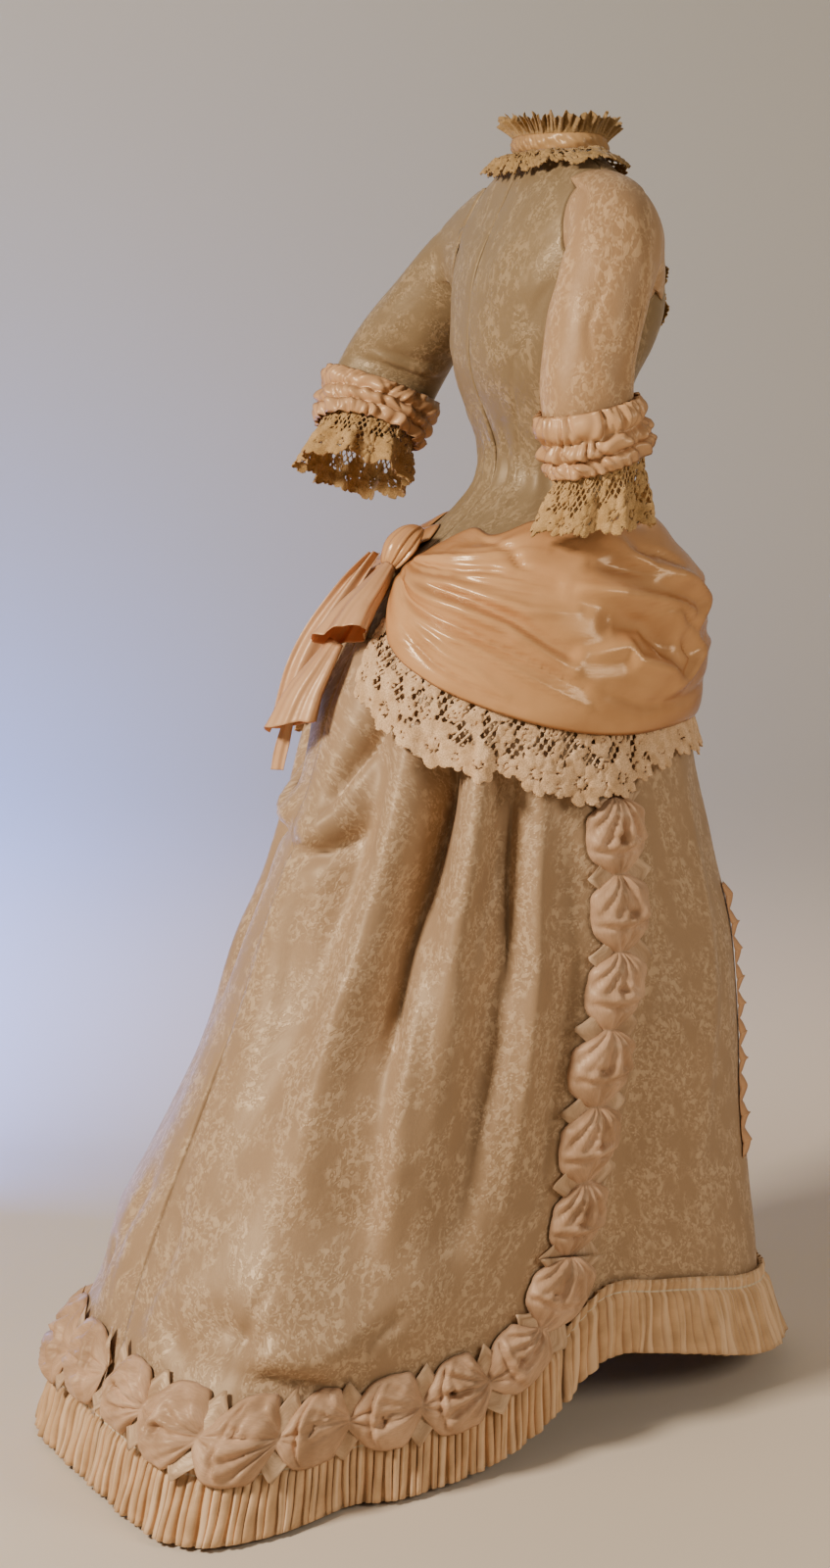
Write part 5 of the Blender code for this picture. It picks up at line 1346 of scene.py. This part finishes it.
def collar_fall(side):
    """Lace over one shoulder; its depth follows two bands of the bodice's own levels."""
    length, deep = 0.235, 0.036

    def depth(x):
        return 0 * x + deep

    def surface(x, y, raised):
        angle = (np.radians(179.2) + (NECK_START - np.radians(179.2)) * x / length) * side
        fall = 2.15 * y / deep
        level = NECK_TOP - 0.02 - fall
        ruffle = 0.0028 * np.sin(x * 130) * np.minimum(fall, 1)
        rise = np.interp(fall, (0, 1, 2.2), (0.0030, 0.0110, 0.0120)) + ruffle
        return bodice_point(angle, level) + (rise + raised)[:, None] * bodice_normal(angle, level)

    motifs = garden(length, depth, 0.0110, 0.031, 31 if side == RIGHT else 35, rows=1)
    return lace(side_name("collar_lace_cloth", side), length, depth, surface, motifs, 0.0017,
                [side_name("collar_lace", side)], body_axis, COLLAR_LACE)


def front_lace(side):
    """Ruffled lace from the neck down to where the fronts close."""
    length, wide = 0.30, 0.042

    def depth(x):
        return wide * (0.75 + 0.25 * np.sin(np.pi * np.clip(x / length, 0, 1)))

    def surface(x, y, raised):
        degrees = NECK_OPENING_ANGLE - 7 + (10.0 - NECK_OPENING_ANGLE) * x / length
        reach = np.clip(degrees / NECK_OPENING_ANGLE, 0, 1) ** 0.75
        level = NECK_OPENING_FOOT + (NECK_TOP - NECK_OPENING_FOOT) * reach
        inner = bodice_point(side * np.radians(degrees), level)
        outer = bodice_point(side * np.radians(degrees + 16), np.minimum(level, NECK_TOP - 2.2) - 0.35)
        share = np.clip(y / wide, 0, 1.02)
        ruffle = 0.0045 * np.sin(x * 2 * np.pi / 0.052) + 0.0018 * np.sin(x * 2 * np.pi / 0.019)
        away = np.interp(share, (0, 0.45, 1), (0.0030, 0.0160, 0.0150)) + ruffle * share + raised
        forward = np.array([0.25 * side, -1.0, 0.1])
        return inner + (outer - inner) * share[:, None] + away[:, None] * forward

    motifs = garden(length, depth, 0.0105, 0.032, 41 if side == RIGHT else 45, rows=1)
    return lace(side_name("front_lace_cloth", side), length, depth, surface, motifs, 0.0018,
                [side_name("front_lace", side)], body_axis, COLLAR_LACE)


cloth("collar_band_cloth", collar_band(), COLLAR_SATIN, ["collar_band"])
cloth("collar_ruff_cloth", collar_ruff(), COLLAR_LACE, ["collar_frill"],
      thickness=0.0006)
for side in (RIGHT, LEFT):
    collar_fall(side)
    front_lace(side)
print("cuffs and collar:", declared[-12:])

# %% [markdown]
# ## Pleated flounces
# The hem is finished with a knife-pleated strip. Each pleat runs outwards for most of its width and
# turns back under itself, the pleats are pressed but never quite alike, and a cream stitched line
# holds them a finger's breadth below their upper edge.

# %% Flounces
PLEAT = np.array([(0.00, 0.00), (0.05, 0.50), (0.17, 0.86), (0.48, 1.02), (0.76, 0.92), (0.85, 0.56),
                  (0.79, 0.02)])
PLEAT_TOP, PLEAT_FOOT, FLOUNCE_GAP, STITCH_LINE = 0.0052, 0.0085, 0.006, 0.16


def even_angles(first, last, shares):
    """Angles that stand at given shares of the way along the skirt near its hem."""
    fine = np.linspace(first, last, 400)
    points = skirt_point(fine, np.full(fine.shape, 0.08))
    run = np.concatenate([[0], np.cumsum(np.linalg.norm(np.diff(points, axis=0), axis=1))])
    return np.interp(shares * run[-1], run, fine)


def flounce_grid(first, last, pleats, seed):
    """Pleats from the header to the hem; widths, depths and lean differ a little from pleat to pleat."""
    ends = np.concatenate([[0], np.cumsum(0.80 + 0.40 * scatter(pleats, seed))])
    ends /= ends[-1]
    width = np.diff(ends)
    t = np.linspace(0, 1, 13)[:, None]
    lean = 0.45 * (scatter(pleats, seed + 1) - 0.5)[:, None] * width[:, None]
    share = (ends[:-1, None] + width[:, None] * PLEAT[:, 0]).ravel()
    sway = np.repeat(lean, len(PLEAT), 1).ravel() * t
    ridge = (PLEAT[:, 1] * (0.75 + 0.5 * scatter(pleats, seed + 2))[:, None]).ravel()
    angle = even_angles(first + FLOUNCE_GAP, last - FLOUNCE_GAP, np.clip(share + sway, 0, 1))
    top = skirt_surface(angle[0], hem_value(angle[0], "head"))
    hem = hem_value(angle, "hem")
    out = outward(angle, 0.25)
    foot = skirt_point(angle, hem) + out * hem_value(angle, "flare")[..., None]
    foot[..., 2] = hem + 0.0006
    depth = PLEAT_TOP + (PLEAT_FOOT - PLEAT_TOP) * t
    depth = depth * (1 - 0.55 * np.exp(-(((t - STITCH_LINE) / 0.05) ** 2)))
    lift = 0.0026 * (1 - t) + ridge * depth + 0.0016 * np.sin(7 * t + 40 * angle) * t
    # The map runs along the strip, not round the folds, so streaks in the finish follow the pleats.
    place = np.stack([share[None, :] * 1.1 + 0 * t, -0.105 * t + 0 * share[None, :]], -1)
    return top * (1 - t)[..., None] + foot * t[..., None] + out * lift[..., None], place


edge = np.radians(FRONT_PANEL_ANGLE)
for node, first, last, pleats, seed in (
    ("flounce_front", -edge, edge, 92, 51),
    ("flounce_train_left", edge, np.pi, 64, 52),
    ("flounce_train_right", -np.pi, -edge, 64, 53),
):
    points, place = flounce_grid(first, last, pleats, seed)
    cloth(node + "_cloth", points, PLEAT_TAFFETA, [node],
          thickness=0.0006, place=place)
print("flounces:", declared[-3:])

# %% [markdown]
# ## Rosettes
# A wide taffeta ribbon is caught down at every rosette's end and puffed between. Folds run out of
# the stitched points, a small twist sits off the middle, and the lower part turns under like a lip.

# %% Ribbon rosettes
ROSETTE = table(
    "along half_width rise",
    (0.00, 0.24, 0.08),
    (0.07, 0.50, 0.50),
    (0.18, 0.90, 0.86),
    (0.38, 1.02, 1.00),
    (0.58, 1.02, 1.00),
    (0.76, 0.88, 0.66),
    (0.91, 0.50, 0.34),
    (1.00, 0.24, 0.08),
)
TRIM_ROWS = table(
    "angle height",
    (82.5, 0.735),
    (81.5, 0.656),
    (81.0, 0.571),
    (83.0, 0.483),
    (83.5, 0.390),
    (82.5, 0.314),
    (82.0, 0.250),
    (88.0, 0.160),
    (100.0, 0.116),
    (114.0, 0.100),
    (128.0, 0.098),
    (140.0, 0.098),
    (152.0, 0.100),
    (164.0, 0.108),
    (179.2, 0.116),
)
ROSETTE_PITCH, SIDE_ROSETTES, ROSETTE_HALF_WIDTH, ROSETTE_RISE = 0.087, 6, 0.039, 0.018
METRES_PER_RADIAN, TRIM_HANG = 0.22, 0.0120


def trim_path(side):
    """Angles and heights along the trim's middle, and the run in metres."""
    knots, fine = np.linspace(0, 1, len(TRIM_ROWS["angle"])), np.linspace(0, 1, 300)
    degrees, height = (curve(fine, knots, TRIM_ROWS[name]) for name in ("angle", "height"))
    points = skirt_point(side * np.radians(degrees), height)
    return degrees, height, np.concatenate([[0], np.cumsum(np.linalg.norm(np.diff(points, axis=0), axis=1))])


def groove(value, width):
    """1 on a line and falling off to both sides."""
    return np.exp(-((value / width) ** 2))


def rosette_relief(x, y, number, pitch, seed):
    """Rise of the folds in metres; x runs down a rosette, y across it, number tells which one it is."""
    pick = [scatter(64, seed + k)[number] for k in range(7)]
    angle_top = np.arctan2(y, x + 0.004)
    angle_foot = np.arctan2(y, pitch - x + 0.004)
    reach_top = smooth_step(x / 0.010) * (1 - smooth_step((x - 0.036 - 0.012 * pick[0]) / 0.016))
    reach_foot = smooth_step((pitch - x) / 0.010) * (1 - smooth_step((pitch - x - 0.020) / 0.014))
    slits = sum(
        depth * groove(angle_top - at, wide)
        for at, depth, wide in (
            (-0.42 + 0.25 * pick[1], 0.0070, 0.085),
            (0.02 + 0.22 * (pick[2] - 0.5), 0.0095, 0.070),
            (0.44 - 0.22 * pick[3], 0.0060, 0.085),
            (0.80 - 0.20 * pick[1], 0.0035, 0.090),
            (-0.82 + 0.20 * pick[2], 0.0035, 0.090),
        )
    )
    ridges = 0.0016 * np.cos(17 * angle_top + 6 * pick[4])
    low = 0.0050 * groove(angle_foot - 0.25 + 0.3 * pick[4], 0.11) + 0.0042 * groove(angle_foot + 0.35, 0.10)
    twist_x, twist_y = x - (0.50 + 0.08 * pick[5]) * pitch, y - (0.5 - pick[6]) * 0.018
    r, a = np.hypot(twist_x, twist_y), np.arctan2(twist_y, twist_x)
    twist = -0.0085 * groove(r, 0.0045) + 0.0032 * np.cos(4 * a + 6 * pick[0] + 230 * r) * np.exp(-r / 0.011)
    lip = x - (0.66 - 0.05 * pick[3]) * pitch + 5.5 * y**2
    fold = 0.0030 * groove(lip, 0.0040) - 0.0048 * groove(lip - 0.0065, 0.0034)
    small = 0.0007 * np.sin(310 * y + 120 * x + 9 * pick[2]) * np.sin(170 * x + 6 * pick[1])
    return (ridges - slits) * reach_top - low * reach_foot + twist + fold + small


def trim_grid(side, first, last, hang, seed):
    """The ribbon along its path, with its puffs and folds; hang lifts its lower edge off the pleats."""
    degrees, height, length = trim_path(side)
    count = int(round((last - first) / ROSETTE_PITCH))
    pitch = (last - first) / count
    steps = np.linspace(0, count, 31 * count + 1)
    number = np.minimum(np.floor(steps), count - 1).astype(int)
    within = steps - number
    run = first + pitch * steps
    stout = 0.94 + 0.14 * scatter(64, seed)[number]
    half = curve(within, ROSETTE["along"], ROSETTE["half_width"]) * ROSETTE_HALF_WIDTH * stout
    rise = curve(within, ROSETTE["along"], ROSETTE["rise"]) * ROSETTE_RISE
    angle = np.interp(run, length, np.radians(degrees)) * METRES_PER_RADIAN
    level = np.interp(run, length, height)
    smooth = np.ones(25) / 25
    tangent = np.stack([np.gradient(angle, run), np.gradient(level, run)], -1)
    padded = np.pad(tangent, ((12, 12), (0, 0)), mode="edge")
    tangent = unit(np.stack([np.convolve(padded[:, k], smooth, "valid") for k in (0, 1)], -1))
    across = np.linspace(-1, 1, 27)[:, None]
    width = across * half
    at_angle = (angle - tangent[:, 1] * width) / METRES_PER_RADIAN
    at_height = level + tangent[:, 0] * width
    puff = (1 - np.abs(across) ** 2.4) ** 0.75
    edge_free = smooth_step((1 - np.abs(across)) / 0.22)
    numbers = number[None, :] + 0 * across.astype(int)
    relief = rosette_relief(within * pitch + 0 * across, width, numbers, pitch, seed)
    fade = smooth_step(np.minimum(within, 1 - within) / 0.05)
    lift = 0.0035 + puff * rise + relief * edge_free * (0.3 + 0.7 * fade) + hang * (1 - across) / 2
    on = skirt_surface(side * at_angle, at_height)
    return on + outward(side * at_angle, 0.25) * np.maximum(lift, 0.0022)[..., None]


def flap_grid(side, first, last, hang, seed):
    """Flat pointed flaps under the ribbon: widest where it is caught down, with a crease down the middle."""
    degrees, height, length = trim_path(side)
    count = int(round((last - first) / ROSETTE_PITCH))
    steps = np.linspace(0, count, 20 * count + 1)
    lopsided = 0.16 * (scatter(count + 2, seed)[np.round(steps).astype(int)] - 0.5)
    run = first + (last - first) / count * steps
    half = 0.046 * np.clip(np.abs(1 - 2 * ((steps + lopsided) % 1)) ** 1.25, 0.08, 1)
    angle = np.interp(run, length, np.radians(degrees)) * METRES_PER_RADIAN
    level = np.interp(run, length, height)
    tangent = unit(np.stack([np.gradient(angle, run), np.gradient(level, run)], -1))
    across = np.linspace(-1, 1, 13)[:, None]
    at_angle = (angle - tangent[:, 1] * across * half) / METRES_PER_RADIAN
    at_height = level + tangent[:, 0] * across * half
    lift = 0.0024 + 0.0050 * np.abs(across) * half / 0.046 + 0.0010 * np.sin(9 * across + 5 * steps)
    lift = np.maximum(lift, 0.0018) + hang * (1 - across) / 2
    return skirt_surface(side * at_angle, at_height) + outward(side * at_angle, 0.25) * lift[..., None]


for side in (RIGHT, LEFT):
    turn_length, whole = SIDE_ROSETTES * ROSETTE_PITCH, trim_path(side)[2][-1]
    for node, first, last, hang, seed in (
        ("trim_side", 0.0, turn_length, 0.0, 61), ("trim_hem", turn_length + 0.0004, whole, TRIM_HANG, 71)
    ):
        points = trim_grid(side, first, last, hang, seed + (9 if side == LEFT else 0))
        cloth(side_name(node + "_cloth", side), points, TAFFETA, [side_name(node, side)],
              thickness=0.0007)
        points = flap_grid(side, first, last, hang, seed + 5)
        # The cut is a plan, not a measure: the flaps could be cut head to tail from such a strip.
        cloth(side_name(node + "_flaps", side), points, FLAP_TAFFETA, [],
              thickness=0.0006, cut=(float(last - first) * 1.1, 0.058))
print("trims:", declared[-4:])

# %% Small ribbon loops down the front
LOOP_ANGLE, LOOP_COUNT, LOOP_TOP, LOOP_FOOT = 25.0, 10, 0.600, 0.270


def loops_grid(side):
    """A narrow ribbon that stands off the skirt in a loop between every two stitches."""
    steps = np.linspace(0, LOOP_COUNT, 18 * LOOP_COUNT + 1)[None, :]
    across = np.linspace(-1, 1, 9)[:, None]
    phase = 2 * np.pi * steps
    height = LOOP_TOP + (LOOP_FOOT - LOOP_TOP) * (steps + 0.16 * np.sin(phase)) / LOOP_COUNT
    lift = 0.0030 + 0.0085 * np.abs(np.sin(phase / 2)) ** 0.8 * (1 + 0.12 * np.sin(9 * steps))
    lift = np.maximum(lift * (1 - 0.72 * across**2), 0.0024)
    angle = np.radians(LOOP_ANGLE) * side + across * 0.026 * (1 + 0.12 * np.cos(phase)) + 0 * height
    return skirt_surface(angle, height + 0 * angle) + outward(angle, 0.25) * (lift + 0 * angle)[..., None]


for side in (RIGHT, LEFT):
    cloth(side_name("front_loops_cloth", side), loops_grid(side), PALE_SATIN,
          [side_name("front_loops", side)], thickness=0.0006)
# %% [markdown]
# ## The bow behind
# The drape ends in a knot at the centre back. A large loop opens downwards like a cone, a wide tail
# goes on from its mouth, and two narrow tails hang beside them. The satin's coppery inside shows in
# both mouths, so the tubes carry one finish outside and another inside.

# %% Paths measured from the knot
KNOT = (0.004, 0.2085, 1.000)
BOW_LOOP = table(
    "x y down half_width half_depth",
    (-0.0034, 0.0352, 0.0188, 0.010, 0.008),
    (-0.015, 0.063, 0.043, 0.018, 0.013),
    (-0.018, 0.086, 0.066, 0.026, 0.018),
    (-0.020, 0.106, 0.090, 0.033, 0.021),
)
WIDE_TAIL = table(
    "x y down half_width half_depth",
    (-0.0005, 0.1002, 0.0993, 0.012, 0.008),
    (0.004, 0.119, 0.128, 0.020, 0.013),
    (0.012, 0.137, 0.160, 0.027, 0.018),
    (0.018, 0.150, 0.192, 0.031, 0.021),
)
BOW_KNOT = table(
    "x y down half_width half_depth",
    (0.000, -0.0095, -0.0245, 0.0008, 0.0006),
    (0.000, -0.0072, -0.022, 0.010, 0.006),
    (0.000, 0.0064, -0.014, 0.022, 0.012),
    (0.000, 0.0195, 0.000, 0.025, 0.014),
    (0.000, 0.031, 0.018, 0.014, 0.008),
    (0.000, 0.0325, 0.0200, 0.0008, 0.0006),
)
OUTER_TAIL = table(
    "x y down half_width",
    (0.029, 0.034, 0.004, 0.006),
    (0.038, 0.062, 0.040, 0.014),
    (0.044, 0.094, 0.085, 0.019),
    (0.0456, 0.1182, 0.130, 0.020),
    (0.0476, 0.1362, 0.180, 0.018),
)
NARROW_TAIL = table(
    "x y down half_width",
    (0.030, 0.128, 0.152, 0.005),
    (0.034, 0.140, 0.180, 0.006),
    (0.037, 0.149, 0.215, 0.008),
    (0.038, 0.156, 0.245, 0.008),
)
TAIL_SIDEWAYS = np.array([0.75, 0.66, 0.0])


def bow_path(path, rows):
    """Points along a path from the knot, their direction and the widths there."""
    knots, fine = np.arange(len(path["x"]), dtype=float), np.linspace(0, len(path["x"]) - 1, rows)
    at = {name: curve(fine, knots, values) for name, values in path.items()}
    middles = np.array(KNOT) + np.stack([at["x"], at["y"], -at["down"]], -1)
    return middles, unit(np.gradient(middles, axis=0)), at, fine / fine[-1]


def bow_tube(path, rows, columns, folds, slant=0.0):
    """A tube of satin: oval rings with long folds that fade towards the knot, and a slanted mouth.

    folds is a list of count, share of the radius, phase and twist along the tube.
    """
    middles, along, at, share = bow_path(path, rows)
    wide = unit(np.array([1.0, 0, 0]) - along * along[:, :1])
    deep = np.cross(along, wide)
    turn = np.linspace(0, 2 * np.pi, columns, endpoint=False)
    push = sum(s * np.cos(n * turn + phase + twist * share[:, None]) for n, s, phase, twist in folds)
    size = 1 + push * (0.4 + 0.6 * share[:, None])
    ring = (np.cos(turn) * at["half_width"][:, None] * size)[..., None] * wide[:, None]
    ring = ring + (np.sin(turn) * at["half_depth"][:, None] * size)[..., None] * deep[:, None]
    mouth = slant * np.cos(turn + 0.6) * smooth_step((share[:, None] - 0.45) / 0.55)
    return middles[:, None] + ring + mouth[..., None] * along[:, None], middles


def bow_strip(path, rows, columns, dip, curl):
    """A flat tail with a hollow down its length and edges that roll a little."""
    middles, along, at, share = bow_path(path, rows)
    across = np.linspace(-1, 1, columns)[None, :]
    face = unit(np.cross(TAIL_SIDEWAYS, along))
    push = dip * np.cos(across * np.pi * 1.5 + 0.5 * np.sin(6 * share[:, None]))
    push = push + curl * np.abs(across) ** 3 * np.sin(9 * share[:, None] + across)
    points = middles[:, None] + TAIL_SIDEWAYS * (across * at["half_width"][:, None])[..., None]
    return points + face[:, None] * push[..., None]


def two_faced(piece, inner):
    """Shows another finish on the inside of a thickened tube."""
    piece.data.materials.append(inner)
    piece.modifiers["thickness"].material_offset = 1
    return piece


# %% Knot, loop and tails
LOOP_FOLDS = ((3, 0.15, 0.4, 1.2), (7, 0.10, 1.9, -0.9), (13, 0.035, 0.0, 2.0))
TAIL_FOLDS = ((4, 0.14, 1.0, -1.0), (6, 0.10, 0.2, 0.8), (15, 0.03, 1.0, 1.0))
KNOT_FOLDS = ((6, 0.09, 0.3, 2.0), (11, 0.07, 1.0, -1.4), (19, 0.03, 0.0, 1.0))
TUBES = (
    ("bow_knot", BOW_KNOT, 34, KNOT_FOLDS, 0.0),
    ("bow_loop", BOW_LOOP, 42, LOOP_FOLDS, 0.016),
    ("bow_tail_wide", WIDE_TAIL, 42, TAIL_FOLDS, 0.018),
)
for node, path, rows, folds, slant in TUBES:
    points, middles = bow_tube(path, rows, 96, folds, slant)

    def core(at, middles=middles):
        return middles[np.linalg.norm(at[:, None] - middles, axis=-1).argmin(-1)]

    finish = SATIN if node == "bow_knot" else PALE_SATIN
    piece = cloth(node + "_cloth", points, finish, [node],
                  closed=True, inside=core)
    if node != "bow_knot":
        two_faced(piece, COPPER_SATIN)
for node, path, dip, curl in (
    ("bow_tail_outer", OUTER_TAIL, 0.004, 0.002),
    ("bow_tail_narrow", NARROW_TAIL, 0.001, 0.001),
):
    cloth(node + "_cloth", bow_strip(path, 50, 16, dip, curl), PALE_SATIN, [node])
print("bow:", declared[-5:])
# %% [markdown]
# ## Studio
# A pale floor, a plain wall and large soft lights: the key comes from the upper left of the camera, a
# cooler light glows on the wall at the left, and a weak fill keeps the folds from going black.
# The camera stands behind the dress's right shoulder, a little above its waist.

# %% Floor, cove and wall in one sweep
def stage_finish(name, floor_colour, wall_colour, roughness):
    """A painted surface that changes softly from the floor's colour to the wall's with height."""
    made, tree, shader = start_finish(name, roughness, 0.2)
    at = add(tree, "TexCoord").outputs["Object"]
    cloud = noise(tree, at, 1.2, 2.0)
    height = add(tree, "SeparateXYZ", {0: at}).outputs["Z"]
    tone = blend(tree, band(tree, height, FLOOR_LEVEL, FLOOR_LEVEL + 0.55), floor_colour, wall_colour)
    darker = blend(tree, 1.0, tone, (0.93, 0.93, 0.93, 1), "MULTIPLY")
    tree.links.new(blend(tree, cloud.outputs[0], tone, darker), shader.inputs["Base Color"])
    return made


FLOOR_LEVEL = -SHOULDER_HEIGHT - 0.0005
AZIMUTH = np.radians(236.0)
BACK = Vector((np.sin(AZIMUTH), -np.cos(AZIMUTH), 0.0))
ACROSS = Vector((np.cos(AZIMUTH), np.sin(AZIMUTH), 0.0))
COVE_START, COVE_RADIUS, STAGE_HALF_WIDTH, STAGE_DEPTH, WALL_HEIGHT = 0.75, 0.40, 7.0, 8.0, 6.0
bend = np.linspace(0, np.pi / 2, 25)
sweep = [(-STAGE_DEPTH, 0.0)]
sweep += [(COVE_START + COVE_RADIUS * np.sin(t), COVE_RADIUS * (1 - np.cos(t))) for t in bend]
sweep += [(COVE_START + COVE_RADIUS, WALL_HEIGHT)]
corners = [
    tuple(-BACK * away + ACROSS * side_way + Vector((0, 0, FLOOR_LEVEL + up)))
    for away, up in sweep
    for side_way in (-STAGE_HALF_WIDTH, STAGE_HALF_WIDTH)
]
stage_mesh = bpy.data.meshes.new("studio_sweep")
stage_mesh.from_pydata(corners, [], [(2 * k, 2 * k + 1, 2 * k + 3, 2 * k + 2) for k in range(len(sweep) - 1)])
stage_mesh.shade_smooth()
stage_mesh.materials.append(stage_finish("studio_paint", (0.74, 0.63, 0.50, 1), (0.435, 0.405, 0.33, 1), 0.6))
studio_sweep = bpy.data.objects.new("studio_sweep", stage_mesh)
bpy.context.scene.collection.objects.link(studio_sweep)


# %% Lights and camera
def soft_light(name, right, up, toward, size, power, colour, aim=(0, 0.1, -0.65)):
    """A square area light placed across, up and toward the camera from the dress's axis."""
    data = bpy.data.lights.new(name, "AREA")
    data.energy, data.size, data.color = power, size, colour
    made = bpy.data.objects.new(name, data)
    bpy.context.scene.collection.objects.link(made)
    made.location = ACROSS * right + BACK * toward + Vector((0, 0, up - SHOULDER_HEIGHT))
    made.rotation_euler = (Vector(aim) - made.location).to_track_quat("-Z", "Y").to_euler()
    return made


soft_light("key", -2.3, 2.5, 1.9, 0.6, 152, (1.0, 0.90, 0.78))
soft_light("fill", 2.1, 1.6, 1.4, 1.0, 26, (1.0, 0.88, 0.74), aim=(0, 0.1, -0.9))
low_on_the_wall = tuple(-BACK * 0.9 - ACROSS * 1.25 + Vector((0, 0, -1.0)))
soft_light("wall_glow", -1.30, 0.22, -0.42, 0.30, 34.0, (0.10, 0.24, 1.0), aim=low_on_the_wall)
AIR_COLOUR, AIR_STRENGTH = (0.96, 0.92, 0.86, 1), 0.13
world = bpy.data.worlds.new("studio_air")
world.use_nodes = True
air = world.node_tree.nodes["Background"].inputs
air["Color"].default_value, air["Strength"].default_value = AIR_COLOUR, AIR_STRENGTH
bpy.context.scene.world = world

CAMERA_DISTANCE, CAMERA_HEIGHT, FOCAL_PIXELS, PICTURE_ROWS, SENSOR_HEIGHT = 3.0, 1.22, 2610.0, 1600, 36.0
LEFT_OF_CENTRE, BELOW_CENTRE = 156.5, 441.4
YAW, PITCH = np.arctan2(LEFT_OF_CENTRE, FOCAL_PIXELS), np.arctan2(BELOW_CENTRE, FOCAL_PIXELS)
forward = Matrix.Rotation(YAW, 3, "Z") @ (-BACK)
forward = (forward * np.cos(PITCH) + Vector((0, 0, -np.sin(PITCH)))).normalized()
rightward = forward.cross(Vector((0, 0, 1))).normalized()
upward = rightward.cross(forward)
camera_data = bpy.data.cameras.new("camera")
camera_data.sensor_fit, camera_data.sensor_height = "VERTICAL", SENSOR_HEIGHT
camera_data.lens = FOCAL_PIXELS / PICTURE_ROWS * SENSOR_HEIGHT
camera = bpy.data.objects.new("camera", camera_data)
bpy.context.scene.collection.objects.link(camera)
place = BACK * CAMERA_DISTANCE + Vector((0, 0, CAMERA_HEIGHT - SHOULDER_HEIGHT))
turn = Matrix((rightward, upward, -forward)).transposed()
camera.matrix_world = Matrix.Translation(place) @ turn.to_4x4()
bpy.context.scene.camera = camera
